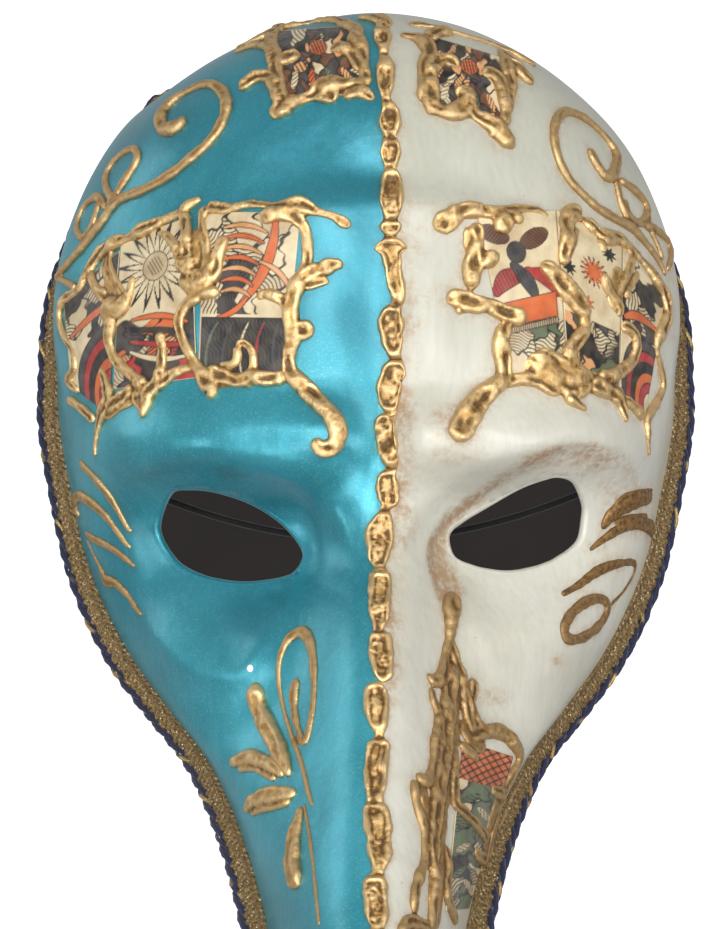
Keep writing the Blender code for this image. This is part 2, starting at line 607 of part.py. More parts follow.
def make_tabs(shell, felt):
    """The patches glued inside the temples, which hold the elastic's ends. Returns their places."""
    places = []
    for name, u in (("strap_tab_left", -0.905), ("strap_tab_right", 0.905)):
        centre = shell_point(8.3, u)
        _, normal, _, _ = shell.tree.find_nearest(centre)
        centre = centre - normal * (WALL + 1.5)
        bpy.ops.mesh.primitive_cube_add(size=1.0, location=centre * MM)
        made = bpy.context.object
        made.name = made.data.name = name
        made.scale = Vector(TAB) * MM
        made.rotation_mode = "QUATERNION"
        made.rotation_quaternion = (-normal).to_track_quat("Y", "Z")
        bpy.ops.object.transform_apply(location=False, rotation=False, scale=True)
        edge = made.modifiers.new("edge", "BEVEL")
        edge.width = 0.3 * MM
        edge.segments = 1
        made.data.materials.append(felt)
        for collection in list(made.users_collection):
            collection.objects.unlink(made)
        parts.objects.link(made)
        places.append((centre, normal))
    return places


def elastic_route(tabs, count):
    """The elastic hangs between the tabs, with a little slack, and bows back from the face."""
    ends = [centre - normal * (TAB[1] / 2 + ELASTIC_RADIUS + 0.3) for centre, normal in tabs]
    points = []
    for k in range(count):
        u = 2 * k / (count - 1) - 1
        place = ends[0].lerp(ends[1], k / (count - 1))
        points.append(place + Vector((0.0, ELASTIC_BOW * (1 - u**4), -ELASTIC_SAG * (1 - u**2))))
    return points


def make_elastic(tabs, look):
    span = lengths_along(elastic_route(tabs, 100))[-1]
    count = round(span / (5 * ELASTIC_RADIUS)) + 1
    tube("elastic_cord", elastic_route(tabs, count), ELASTIC_RADIUS, look)


def main():
    start()
    turquoise = material("pearl_turquoise", (0.055, 0.30, 0.36), 0.3)
    gold = material("gilded_gesso", (0.42, 0.27, 0.10), 0.35, 0.85)
    paper = material("printed_paper", (0.62, 0.50, 0.34), 0.5)
    braid = material("gold_braid", (0.30, 0.22, 0.10), 0.5, 0.6)
    navy = material("navy_cord", (0.008, 0.012, 0.05), 0.7)
    felt = material("black_felt", (0.02, 0.02, 0.02), 0.95)
    elastic = material("black_elastic", (0.012, 0.012, 0.012), 0.8)

    shell = Shell()
    make_shell(shell, turquoise)
    make_lining(shell, felt)
    make_edging(shell, braid, navy)
    for name, strokes in RELIEF.items():
        relief(shell, name, strokes, gold, OVER_CARD if name in OVER_CARDS else GAP)
    make_ring(shell, "right_temple_ring", (57, -23), (5.6, 3.6), 0.75, 1.4, gold)
    for name, (corners, cells) in CARDS.items():
        card(shell, name, corners, paper, cells)
    tabs = make_tabs(shell, felt)
    make_elastic(tabs, elastic)


main()
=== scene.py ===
"""How the plague doctor mask looks. Lengths are millimetres until a mesh is made, +Z is up and the face
looks towards -Y. "Forward" is the distance towards -Y."""

import math

import bmesh
import bpy
import numpy as np
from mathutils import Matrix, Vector, noise
from mathutils.bvhtree import BVHTree


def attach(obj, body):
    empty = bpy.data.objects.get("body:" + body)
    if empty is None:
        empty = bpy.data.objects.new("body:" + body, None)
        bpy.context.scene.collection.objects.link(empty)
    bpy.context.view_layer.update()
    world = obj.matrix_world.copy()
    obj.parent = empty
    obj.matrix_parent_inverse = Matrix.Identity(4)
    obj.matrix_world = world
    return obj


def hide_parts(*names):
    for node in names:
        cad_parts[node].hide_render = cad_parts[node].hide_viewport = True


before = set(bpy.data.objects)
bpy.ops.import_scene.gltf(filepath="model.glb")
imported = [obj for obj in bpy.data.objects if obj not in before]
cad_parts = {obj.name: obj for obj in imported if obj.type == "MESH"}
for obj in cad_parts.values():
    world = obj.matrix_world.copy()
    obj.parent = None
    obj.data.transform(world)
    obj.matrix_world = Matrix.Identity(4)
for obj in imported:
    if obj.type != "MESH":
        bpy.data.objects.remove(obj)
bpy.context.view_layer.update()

MM = 0.001

# The part's own dimensions
WALL = 2.5
LINING_GAP = 1.0
BRAID_WIDTH = 5.0
BRAID_INSIDE = 2.0
BRAID_THICK = 1.5
BRAID_GAP = 0.9
CORD_RADIUS = 1.6
ELASTIC_RADIUS = 1.0
ELASTIC_SAG = 21.0
ELASTIC_BOW = 14.0
TAB_THICK = 1.2
LEAN = 3.0
EYES = ((-36.0, -1.5), (39.5, 1.5))
ROWS, COLUMNS = 28, 32
VIEWER = Vector((-1.6, -600.0, 17.0))
SECTIONS = np.array((
    (-46, 133, -46, 133, 58, -46, 117, 0.75, 0, 12),
    (-33, 138, -33, 138, 68.5, -44.5, 104, 0.80, 0, 12),
    (-14, 137, -14, 137, 76, -43, 90.5, 0.86, 0, 12),
    (4, 128, 4, 128, 81, -41.5, 77, 0.90, 0, 12),
    (16, 112, 16, 112, 84, -40, 64, 0.93, 0, 12),
    (22, 92, 22, 92, 85, -38.5, 52, 0.95, 0, 12),
    (25, 70, 25, 70, 85, -37, 41, 0.96, 0, 12),
    (26.5, 48, 26.5, 48, 85, -35.5, 30, 0.965, 0, 12),
    (27.5, 28, 27, 28, 83.3, -33.5, 19, 0.97, 0, 12),
    (30, 12, 26, 12, 80.8, -31, 8, 0.97, 0, 13),
    (37, -3, 25, -4, 77.8, -28, -5, 0.97, 0, 14),
    (48, -19, 24, -20, 72.3, -22.5, -19, 0.96, 0.1, 16),
    (61, -38, 23, -38, 64, -14.5, -33, 0.95, 0.25, 18),
    (76, -57, 25, -55, 53.5, -4, -45, 0.94, 0.45, 20),
    (91, -75, 32, -69, 41, 10, -58, 0.93, 0.7, 20),
    (105, -92, 43, -82, 31, 30, -75, 0.92, 0.9, 20),
    (118, -110, 57, -97, 24, 52, -94, 0.92, 1, 20),
    (129, -129, 77, -117, 19, 76, -116, 0.92, 1, 20),
    (135.5, -147, 98.5, -136, 14, 98, -136, 0.92, 1, 20),
    (136, -159, 114.5, -150, 9.5, 114, -150, 0.92, 1, 20),
    (131, -167, 124.5, -160, 6, 124, -160, 0.92, 1, 20),
), float)  # fmt: skip
LEFT_EYE = (
    (-54.3, 1.6), (-51, 9.1), (-45.8, 10.1), (-39.3, 9.4), (-30.2, 6.5), (-22.4, 1.8), (-17.7, -3.4),
    (-16.9, -6.5), (-18.5, -9.9), (-22.4, -12.2), (-31.5, -13.5), (-40.6, -12.5), (-48.4, -9.4),
    (-53, -3.9),
)  # fmt: skip
RIGHT_EYE = (
    (22.1, -0.8), (25.7, 2.6), (32.2, 6.2), (40, 10.4), (46.5, 12.7), (50.4, 13.3), (54.3, 11.7),
    (57, 6.5), (57, 2.6), (55.6, -3.4), (50.4, -7.3), (45.2, -9.4), (37.4, -10.7), (29.6, -9.6),
    (23.4, -6.8),
)  # fmt: skip
HOLES = (("left", EYES[0], LEFT_EYE), ("right", EYES[1], RIGHT_EYE))
TAB_SECTION, TAB_U = 8.3, 0.905
TAB_CLEARANCE, ELASTIC_CLEARANCE = 1.5, 0.3

# What this script adds
FINE_ROWS, FINE_COLUMNS = 210, 270
VOXEL = 0.36  # of the relief
CARD_CELL = 0.28
CHIP = (-30.2, -36.0)  # the missing paint on the left cheek, on the eye plane
PHOTO_HEIGHT = 241.54  # of the eye plane, seen from VIEWER
SENSOR = 36.0
FLOOR = -190.0
SIDE_SWELL, SHOULDER_SWELL = 8.5, 7.0  # the dome swells out over its rim at the sides and above
EYE_WIDER = 1.045  # the photograph's holes are a little wider than part.py's outlines
LINING_EYE_WIDER = 1.12
LINING_SECTIONS, LINING_U = (0.85, 12.1), 0.79  # where the lining ends on the shell
LINING_THICK, LINING_LIFT = 0.9, 0.5
PAPER_THICK, PAPER_LIFT = 0.22, 0.3
CREST_SOFTNESS = 1.2
GOLD_REACH = 9.0  # how far from the gesso a stain may start
ELASTIC_STEPS, ELASTIC_AROUND = 720, 16
BRAID_STEP, BRAID_ACROSS = 0.26, 15
CORD_STEP, CORD_PITCH, YARN_AROUND = 0.42, 16, 10


def curve_through(points, t, closed=False):
    """The smooth curve through points at each t, which counts the points from 0."""
    points = np.asarray(points, float)
    t = np.atleast_1d(np.asarray(t, float))
    if closed:
        points = np.vstack([points, points[:1]])
        wide = np.vstack([points[-2], points, points[1]])
    else:
        wide = np.vstack([2 * points[0] - points[1], points, 2 * points[-1] - points[-2]])
    i = np.clip(t.astype(int), 0, len(points) - 2)
    f = (t - i)[:, None]
    before, a, b, after = wide[i], wide[i + 1], wide[i + 2], wide[i + 3]
    return a + 0.5 * f * (
        b - before + f * (2 * before - 5 * a + 4 * b - after + f * (3 * (a - b) + after - before))
    )


def bump(x, width):
    return np.exp(-((x / width) ** 2))


def rise(x, width):
    return 0.5 + 0.5 * np.tanh(x / width)


def features(x, z):
    """Forward push of the brow, furrow, sockets and cheekbones."""
    side = np.abs(x - LEAN)
    top = 86 - 0.0035 * side**2
    push = 4.5 * rise(top - z, 3) * rise(z - 20, 12)
    push = push - 2.5 * bump(side, 9) * rise(z - 30, 12) * rise(84 - z, 8)
    ridge = 25 - 0.0022 * (side - 30) ** 2
    push = push + 7.5 * bump(z - ridge, 9) * rise(80 - side, 8) * rise(side - 6, 6)
    for eye_x, eye_z in EYES:
        push = push - 13 * bump(x - eye_x, 27) * bump(z - eye_z, 16)
        push = push + 4.5 * bump(x - 1.1 * eye_x, 22) * bump(z - eye_z + 29, 10)
        push = push - 2.5 * bump(x - 1.75 * eye_x, 9) * bump(z - eye_z + 24, 12)
    return push


def crest(distance, above, below):
    """A ridge's height, which falls off over these widths on its two sides."""
    away = np.sqrt(distance**2 + CREST_SOFTNESS**2) - CREST_SOFTNESS
    return np.exp(-away / np.where(distance > 0, above, below))


# Lines on the eye plane, each from its lower a to its higher: the brow's arch, the lid's fold and the
# crest under the eye's hollow, on the left and on the right
ARCHES = (
    ((-66, 9), (-60, 15), (-50, 19.5), (-40, 20.2), (-30, 19), (-21, 16.6), (-15, 13), (-10, 7.5),
     (-6, 0), (-4.5, -9)),
    ((8.5, -9), (10.5, -1), (14, 5), (19, 10), (25, 14.6), (33, 18.8), (42, 22), (51, 23.6), (60, 22.8),
     (68, 18), (73, 12)),
)  # fmt: skip
FOLDS = (
    ((-68, 11), (-60, 14.5), (-50, 16.5), (-41, 17.2), (-31, 16), (-22, 12.5), (-16, 7.5), (-12.6, 1),
     (-12, -7), (-13.5, -16)),
    ((19.5, -18), (17, -10), (16.8, -4), (20, 1), (25, 5.5), (32, 11), (40, 16), (46, 19.2), (52, 21.3),
     (58, 21.7), (67, 19.5)),
)  # fmt: skip
POCKETS = (
    ((-62, -17), (-56, -27), (-47, -35), (-39, -37.5), (-32, -36.5), (-27, -28.5), (-21, -19.5),
     (-16.5, -11)),
    ((22, -13), (26, -21), (31, -29), (36, -36), (43, -38), (51, -35.5), (59, -28), (65, -19)),
)  # fmt: skip


def line_on_shell(points):
    """The x and z of a line laid out on the eye plane."""
    route = curve_through(points, np.linspace(0, len(points) - 1, 9 * len(points)))
    return np.array([coarse.at(a, b)[0] for a, b in route])[:, [0, 2]]


def from_line(x, z, line):
    """The distance from a line, above 0 on its left, and a share that is 0 past its ends."""
    dx, dz = x[:, None] - line[:, 0], z[:, None] - line[:, 1]
    nearest = (dx**2 + dz**2).argmin(1)
    ahead = np.gradient(line, axis=0)
    k = np.arange(len(x))
    dx, dz = dx[k, nearest], dz[k, nearest]
    side = np.sign(ahead[nearest, 0] * dz - ahead[nearest, 1] * dx)
    share = nearest / (len(line) - 1)
    return side * np.hypot(dx, dz), np.clip(np.minimum(share, 1 - share) / 0.16, 0, 1)


def sculpture(x, z):
    """Creases and crests too fine for the CAD shell's cells, and the unevenness of a hand laid shell."""
    push = 0.30 * np.sin(0.23 * x + 1.3) * np.sin(0.19 * z + 0.7) + 0.22 * np.sin(0.11 * x + 0.17 * z + 2.1)
    for side, (eye_x, eye_z) in enumerate(EYES):
        push = push + 6.0 * bump(z - eye_z - 15.5, 6.5) * bump(x - eye_x, 26)
        push = push - 1.2 * bump(z - eye_z - 31, 8) * bump(x - eye_x, 30)
        arch, share = from_line(x, z, line_on_shell(ARCHES[side]))
        push = push + 3.4 * crest(arch, 8, 4) * share
        fold, share = from_line(x, z, line_on_shell(FOLDS[side]))
        push = push - (2.0, 2.4)[side] * rise(-fold, (1.3, 0.6)[side]) * bump(fold, 11) * share
        pocket, share = from_line(x, z, line_on_shell(POCKETS[side]))
        push = push + (3.6, 1.8)[side] * crest(pocket, 5.5, 10) * share
        hole = line_on_shell(HOLES[side][2])
        push = push + 0.8 * bump(from_line(x, z, hole)[0], 2.6)
    return push


def shell_points(t, u, detail=False):
    """The outer surface at sections t and at u from -1 (left rim) to 1 (right rim). Detail adds what is
    finer than the CAD shell, and the dome's swell."""
    t, u = np.broadcast_arrays(np.asarray(t, float), np.asarray(u, float))
    shape = t.shape
    t, u = t.reshape(-1), u.reshape(-1)
    ridge_f, ridge_z, face_f, face_z, rim_x, rim_f, rim_z, bow, beak, root = curve_through(SECTIONS, t).T
    q = np.sin(math.pi / 2 * np.abs(u) ** 1.3)
    flat = np.sqrt(1 - bow**2)
    arch = (np.sqrt(1 - (bow * q) ** 2) - flat) / (1 - flat)
    wedge = 1 - (np.hypot(q, 0.3) - 0.3) / (math.hypot(1, 0.3) - 0.3)
    nose = beak * wedge + (1 - beak) * bump(rim_x * q, root)
    x = np.copysign(rim_x * q, u) + LEAN * (1 - q**2) * (1 - beak) * np.minimum(1, t / 2)
    forward = rim_f + (face_f - rim_f) * arch + (ridge_f - face_f) * nose
    z = rim_z + (face_z - rim_z) * arch + (ridge_z - face_z) * nose
    push = features(x, z)
    if detail:
        push = push + sculpture(x, z)
        side = SIDE_SWELL * rise(z - 44, 12) * (1 - 0.5 * rise(z - 92, 20)) * q**7 * (1 - q**26)
        shoulder = SHOULDER_SWELL * rise(z - 102, 20) * q**3 * (1 - q**12)
        x = x + np.copysign((side + shoulder) * np.minimum(1, t / 0.3), u)
    return np.stack([x, -forward - push * (1 - q**6), z], -1).reshape(*shape, 3)


def lengths_along(places):
    return np.concatenate([[0], np.cumsum(np.linalg.norm(np.diff(places, axis=0), axis=1))])


def ridge_stations(count):
    fine = np.linspace(0, len(SECTIONS) - 1, 400)
    along = lengths_along(shell_points(fine, np.zeros(400)))
    return np.interp(np.linspace(0, along[-1], count), along, fine)


def grid_faces(rows, columns, closed=False, flip=False):
    """The quads of a grid. A closed one joins its last column to its first."""
    i, j = np.meshgrid(np.arange(rows - 1), np.arange(columns if closed else columns - 1), indexing="ij")
    a, b = i * columns + j, i * columns + (j + 1) % columns
    faces = np.stack([a, b, b + columns, a + columns], -1).reshape(-1, 4)
    return faces[:, ::-1] if flip else faces


def ring_faces(count, around):
    """The quads of a tube whose last ring joins its first."""
    last, j = (count - 1) * around, np.arange(around)
    seam = np.stack([last + j, last + (j + 1) % around, (j + 1) % around, j], -1)
    return np.vstack([grid_faces(count, around, closed=True), seam])


def normals_of(points, faces):
    """Vertex normals, each the mean of its faces'."""
    p = points[faces]
    face = np.cross(p[:, 2] - p[:, 0], p[:, 3] - p[:, 1])
    total = np.zeros_like(points)
    for k in range(4):
        np.add.at(total, faces[:, k], face)
    return total / np.maximum(np.linalg.norm(total, axis=1), 1e-9)[:, None]


class Grid:
    """A shell grid of rows and columns, with its normals and its search tree."""

    def __init__(self, rows, columns, detail=False):
        self.t = ridge_stations(rows + 1)
        self.u = np.linspace(-1, 1, columns + 1)
        self.points = shell_points(self.t[:, None], self.u[None, :], detail).reshape(-1, 3)
        self.faces = grid_faces(rows + 1, columns + 1, flip=True)
        self.normals = normals_of(self.points, self.faces)
        self.tree = BVHTree.FromPolygons([Vector(p) for p in self.points], self.faces.tolist())

    def at(self, a, b):
        """The point seen from VIEWER through (a, b) on the eye plane, and the normal there."""
        direction = (Vector((a, 0.0, b)) - VIEWER).normalized()
        place, normal, _, _ = self.tree.ray_cast(VIEWER, direction)
        if place is None:
            beside = VIEWER + direction * (Vector((a, 14.0, b)) - VIEWER).length
            place, normal, _, _ = self.tree.find_nearest(beside)
        return place, -normal if normal.dot(direction) > 0 else normal


def on_eye_plane(points):
    """(across, up) on the eye plane of points seen from VIEWER."""
    points = np.asarray(points, float)
    scale = -VIEWER.y / (points[:, 1] - VIEWER.y)
    a = VIEWER.x + (points[:, 0] - VIEWER.x) * scale
    b = VIEWER.z + (points[:, 2] - VIEWER.z) * scale
    return a, b


def add_object(name, data):
    made = bpy.data.objects.new(name, data)
    bpy.context.scene.collection.objects.link(made)
    return made


# Camera, at the photograph's viewing angle
lens_view = bpy.data.cameras.new("camera")
camera = add_object("camera", lens_view)
camera.location = VIEWER * MM
camera.rotation_euler = (math.pi / 2, 0.0, 0.0)
lens_view.sensor_width = SENSOR
lens_view.lens = SENSOR * -VIEWER.y / PHOTO_HEIGHT
bpy.context.scene.camera = camera
bpy.context.scene.view_settings.view_transform = "Standard"

coarse = Grid(ROWS, COLUMNS)
fine = Grid(FINE_ROWS, FINE_COLUMNS, detail=True)


# ---------------------------------------------------------------- node helpers


class Nodes:
    """A material's node tree, with short calls for the nodes used here."""

    def __init__(self, name, **sockets):
        self.material = bpy.data.materials.new(name)
        self.material.use_nodes = True
        self.tree = self.material.node_tree
        self.shader = self.tree.nodes["Principled BSDF"]
        for socket, value in sockets.items():
            self.shader.inputs[socket.replace("_", " ")].default_value = value
        self.place = self.tree.nodes.new("ShaderNodeNewGeometry").outputs["Position"]

    def put(self, socket, value):
        if isinstance(value, bpy.types.NodeSocket):
            self.tree.links.new(value, socket)
        elif isinstance(value, tuple) and len(value) == 3 and socket.type == "RGBA":
            socket.default_value = (*value, 1.0)
        else:
            socket.default_value = value

    def out(self, **sockets):
        for socket, value in sockets.items():
            self.put(self.shader.inputs[socket.replace("_", " ")], value)
        return self.material

    def math(self, operation, a, b, c=0.0):
        node = self.tree.nodes.new("ShaderNodeMath")
        node.operation = operation
        for socket, value in zip(node.inputs, (a, b, c)):
            self.put(socket, value)
        return node.outputs[0]

    def times(self, a, b):
        return self.math("MULTIPLY", a, b)

    def plus(self, a, b):
        return self.math("ADD", a, b)

    def ramp(self, value, low, high, to_low=0.0, to_high=1.0):
        node = self.tree.nodes.new("ShaderNodeMapRange")
        node.interpolation_type = "SMOOTHSTEP"
        for name, x in (("Value", value), ("From Min", low), ("From Max", high),
                        ("To Min", to_low), ("To Max", to_high)):
            self.put(node.inputs[name], x)
        return node.outputs[0]

    def noise(self, size, detail=3.0, roughness=0.55, at=None, distortion=0.0):
        """Noise from 0 to 1 whose blobs are about size millimetres across."""
        node = self.tree.nodes.new("ShaderNodeTexNoise")
        self.put(node.inputs["Vector"], at or self.place)
        node.inputs["Scale"].default_value = 1 / (size * MM)
        node.inputs["Detail"].default_value = detail
        node.inputs["Roughness"].default_value = roughness
        node.inputs["Distortion"].default_value = distortion
        return node.outputs[0]

    def stretched(self, *scale):
        """The position with each axis scaled, for brush marks that run one way."""
        node = self.tree.nodes.new("ShaderNodeVectorMath")
        node.operation = "MULTIPLY"
        self.put(node.inputs[0], self.place)
        node.inputs[1].default_value = scale
        return node.outputs["Vector"]

    def near(self, spot, outer, inner):
        """1 within inner millimetres of a place, and 0 past outer."""
        node = self.tree.nodes.new("ShaderNodeVectorMath")
        node.operation = "DISTANCE"
        self.put(node.inputs[0], self.place)
        node.inputs[1].default_value = spot * MM
        return self.ramp(node.outputs["Value"], inner * MM, outer * MM, 1.0, 0.0)

    def cells(self, size):
        """The distance from the middle of the nearest cell."""
        node = self.tree.nodes.new("ShaderNodeTexVoronoi")
        self.put(node.inputs["Vector"], self.place)
        node.inputs["Scale"].default_value = 1 / (size * MM)
        return node.outputs["Distance"]

    def attribute(self, name, output="Fac"):
        node = self.tree.nodes.new("ShaderNodeAttribute")
        node.attribute_name = name
        return node.outputs[output]

    def mix(self, share, a, b, blend="MIX"):
        node = self.tree.nodes.new("ShaderNodeMix")
        node.data_type = "RGBA"
        node.blend_type = blend
        self.put(node.inputs[0], share)
        self.put(node.inputs[6], a)
        self.put(node.inputs[7], b)
        return node.outputs[2]

    def relief(self, height, depth):
        """A bump of height from 0 to 1 that is depth millimetres deep."""
        node = self.tree.nodes.new("ShaderNodeBump")
        node.inputs["Distance"].default_value = depth * MM
        self.put(node.inputs["Height"], height)
        return node.outputs[0]


def srgb(r, g, b):
    """A linear colour from a display colour of 0 to 255."""
    c = np.array((r, g, b)) / 255
    linear = np.where(c <= 0.04045, c / 12.92, ((c + 0.055) / 1.055) ** 2.4)
    return tuple(float(x) for x in linear)


# ---------------------------------------------------------------- mesh helpers


def add_mesh(name, points, faces, look):
    """A smooth mesh object from points in millimetres."""
    mesh = bpy.data.meshes.new(name)
    points = np.asarray(points, float)
    faces = np.asarray(faces)
    mesh.vertices.add(len(points))
    mesh.vertices.foreach_set("co", (points * MM).reshape(-1))
    size = faces.shape[1]
    mesh.loops.add(faces.size)
    mesh.loops.foreach_set("vertex_index", faces.reshape(-1).astype(np.int32))
    mesh.polygons.add(len(faces))
    mesh.polygons.foreach_set("loop_start", np.arange(0, faces.size, size, dtype=np.int32))
    mesh.update(calc_edges=True)
    mesh.validate()
    mesh.shade_smooth()
    mesh.materials.append(look)
    return add_object(name, mesh)


def at_vertices(mesh, what):
    values = np.empty(len(mesh.vertices) * 3)
    mesh.vertices.foreach_get(what, values)
    return values.reshape(-1, 3)


def places_of(mesh):
    return at_vertices(mesh, "co") / MM


def normals_from(mesh):
    return at_vertices(mesh, "normal")


def move_to(mesh, places):
    mesh.vertices.foreach_set("co", (places * MM).reshape(-1))
    mesh.update()


def paint(mesh, name, values):
    """Values at each vertex, as a number or a colour that the materials read."""
    values = np.asarray(values, float)
    if values.ndim == 1:
        layer = mesh.attributes.new(name, "FLOAT", "POINT")
        layer.data.foreach_set("value", values)
    else:
        layer = mesh.attributes.new(name, "FLOAT_COLOR", "POINT")
        layer.data.foreach_set("color", np.column_stack([values, np.ones(len(values))]).reshape(-1))


def settle(made):
    """Makes an object's modifiers part of its mesh."""
    depsgraph = bpy.context.evaluated_depsgraph_get()
    mesh = bpy.data.meshes.new_from_object(made.evaluated_get(depsgraph))
    made.modifiers.clear()
    made.data = mesh
    return mesh


def stands_for(made, node):
    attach(made, "root")
    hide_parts(node)
    return made


def tube(line, radius, around, closed=False):
    """The points and faces of a tube along a line in millimetres. Its radius may vary along and around."""
    line = np.asarray(line, float)
    count = len(line)
    if closed:
        along = np.roll(line, -1, 0) - np.roll(line, 1, 0)
    else:
        along = np.gradient(line, axis=0)
    along /= np.linalg.norm(along, axis=1)[:, None]
    side = np.zeros_like(line)
    side[0] = Vector(along[0]).orthogonal().normalized()
    for k in range(1, count):
        s = side[k - 1] - along[k] * np.dot(side[k - 1], along[k])
        side[k] = s / np.linalg.norm(s)
    if closed:  # the frame comes back to where it started
        end = side[-1] - along[0] * np.dot(side[-1], along[0])
        angle = math.atan2(np.dot(np.cross(end, side[0]), along[0]), np.dot(end, side[0]))
        turn = np.linspace(0, angle, count, endpoint=False)[:, None]
        side = side * np.cos(turn) + np.cross(along, side) * np.sin(turn)
    up = np.cross(along, side)
    angle = np.linspace(0, 2 * math.pi, around, endpoint=False)
    r = np.broadcast_to(radius, (count, around))
    points = line[:, None] + r[..., None] * (
        side[:, None] * np.cos(angle)[None, :, None] + up[:, None] * np.sin(angle)[None, :, None]
    )
    points = points.reshape(-1, 3)
    if closed:
        return points, ring_faces(count, around)
    points = np.vstack([points, line[:1], line[-1:]])
    j = np.arange(around)
    ahead, last = (j + 1) % around, (count - 1) * around
    caps = [np.stack([np.full(around, len(points) - 2), ahead, j, j], -1),
            np.stack([np.full(around, len(points) - 1), last + j, last + ahead, last + ahead], -1)]
    return points, np.vstack([grid_faces(count, around, closed=True), *caps])


# ---------------------------------------------------------------- materials


def gold_leaf():
    """Worn leaf over gesso: brighter on the crests, partly rubbed wear and partly a painted highlight;
    brown patina in the hollows, and painted shade where the gesso meets the shell.
    """
    n = Nodes("gilded_gesso_leaf", Coat_Weight=0.25, Coat_Roughness=0.2)
    cavity = n.attribute("cavity")
    rough_area, brushed = n.attribute("rough"), n.attribute("brushed")
    mottle = n.noise(2.2, 4)
    grain = n.noise(0.5, 3, 0.7)
    base = n.mix(n.ramp(mottle, 0.35, 0.7), srgb(178, 136, 78), srgb(216, 176, 112))
    # Painted highlight: the crests are lightened towards a highlight colour, partly as rubbed wear.
    rubbed_and_highlit = n.ramp(n.plus(cavity, n.times(mottle, -0.5)), -0.9, -0.2, 1.0, 0.0)
    base = n.mix(n.times(rubbed_and_highlit, 0.75), base, srgb(232, 202, 150))
    hollow = n.ramp(n.plus(cavity, n.times(grain, 0.6)), 0.5, 1.1)
    speck = n.times(n.ramp(grain, 0.56, 0.68), n.ramp(rough_area, 0.3, 0.9, 0.1, 1.0))
    # Dark patina in the hollows, specks of dirt, and painted shade at the foot of each bead.
    dirt_and_shade = n.math("MINIMUM", n.plus(n.times(hollow, 0.8), n.times(speck, 0.35)), 0.85)
    bronze = n.mix(n.ramp(n.noise(1.0, 4, 0.7), 0.35, 0.65), srgb(92, 66, 36), srgb(158, 120, 72))
    base = n.mix(brushed, base, bronze)
    color = n.mix(dirt_and_shade, base, srgb(70, 48, 22))
    gloss = n.ramp(n.noise(1.2, 3), 0.3, 0.7, 0.3, 0.52)
    gloss = n.plus(gloss, n.times(n.plus(dirt_and_shade, brushed), 0.25))
    crinkle = n.plus(n.times(n.noise(0.9, 4, 0.65), 0.6),
                     n.times(n.noise(0.25, 2), n.ramp(rough_area, 0.3, 0.8, 0.15, 0.7)))
    metallic = n.math("MULTIPLY_ADD", dirt_and_shade, -0.5, 0.92)
    return n.out(Base_Color=color, Metallic=metallic, Roughness=gloss, Normal=n.relief(crinkle, 0.28))


def shell_paint():
    """Pearl turquoise on one half, aged ivory lacquer on the other, black inside. Painted shade darkens
    both halves in places, painted sparkle flecks the pearl, and a line of painted shade runs along the
    right lid's fold among the ivory's stains.
    """
    n = Nodes("painted_papier_mache_paint", Coat_Weight=0.4, Coat_Roughness=0.24, Coat_IOR=1.45)
    ivory_side, stain_and_crease_shade, painted_shade, inside = (n.attribute(name) for name in ("ivory", "stain_and_crease_shade", "painted_shade", "inside"))
    cloud, patch, pearl_glint = n.noise(38, 4, 0.6), n.noise(9, 4, 0.6), n.noise(0.55, 2, 0.7)
    turquoise = n.mix(n.ramp(cloud, 0.3, 0.7), srgb(38, 140, 156), srgb(66, 170, 188))
    # Painted sparkle: fine flecks of the pearl paint are lightened towards its highlight colour.
    turquoise = n.mix(n.times(n.ramp(pearl_glint, 0.5, 0.75), 0.22), turquoise, srgb(168, 222, 232))
    # Painted shade darkens the turquoise here.
    turquoise = n.mix(n.times(painted_shade, 0.55), turquoise, srgb(22, 104, 122))
    soiled = n.ramp(n.plus(stain_and_crease_shade, n.times(patch, 0.9)), 0.7, 1.6)
    turquoise = n.mix(n.times(soiled, 0.7), turquoise, srgb(62, 92, 80))
    ivory = n.mix(n.ramp(cloud, 0.3, 0.75), srgb(192, 189, 174), srgb(206, 205, 193))
    blotch = n.times(n.ramp(n.noise(2.0, 5, 0.7, distortion=0.3), 0.34, 0.66, 0.5, 1.2),
                    n.ramp(patch, 0.3, 0.7, 0.5, 1.15))
    wash_and_crease_shade = n.times(n.ramp(n.times(stain_and_crease_shade, blotch), 0.05, 0.95), 0.85)
    # Painted shade darkens the ivory here.
    ivory = n.mix(n.times(painted_shade, 0.8), ivory, srgb(164, 165, 150))
    # The brown wash is staining, and along the right lid's fold painted shade.
    ivory = n.mix(wash_and_crease_shade, ivory, srgb(160, 124, 84))
    fleck = n.times(n.ramp(n.noise(1.4, 2, 0.4), 0.735, 0.76), n.ramp(patch, 0.45, 0.7))
    ivory = n.mix(n.times(fleck, 0.6), ivory, srgb(110, 92, 66))
    color = n.mix(ivory_side, turquoise, ivory)
    chipped = n.near(fine.at(*CHIP)[0], 1.0, 0.8)
    color = n.mix(chipped, color, srgb(222, 226, 222))
    color = n.mix(inside, color, srgb(38, 36, 34))
    roughness = n.math("MULTIPLY_ADD", ivory_side, -0.04, 0.36)
    roughness = n.plus(roughness, n.times(n.plus(wash_and_crease_shade, inside), 0.2))
    metallic = n.times(n.math("MULTIPLY_ADD", ivory_side, -0.55, 0.55), n.math("SUBTRACT", 1.0, inside))
    strokes = n.noise(1.4, 4, 0.6, at=n.stretched(1.0, 1.0, 0.12))
    color = n.mix(n.ramp(strokes, 0.35, 0.75, 0.0, 0.1), color, srgb(120, 120, 104), "MULTIPLY")
    brush = n.plus(n.times(n.noise(16, 3), 1.3), n.times(n.noise(0.5, 2), 0.05))
    return n.out(Base_Color=color, Metallic=metallic, Roughness=roughness, Normal=n.relief(brush, 0.5))


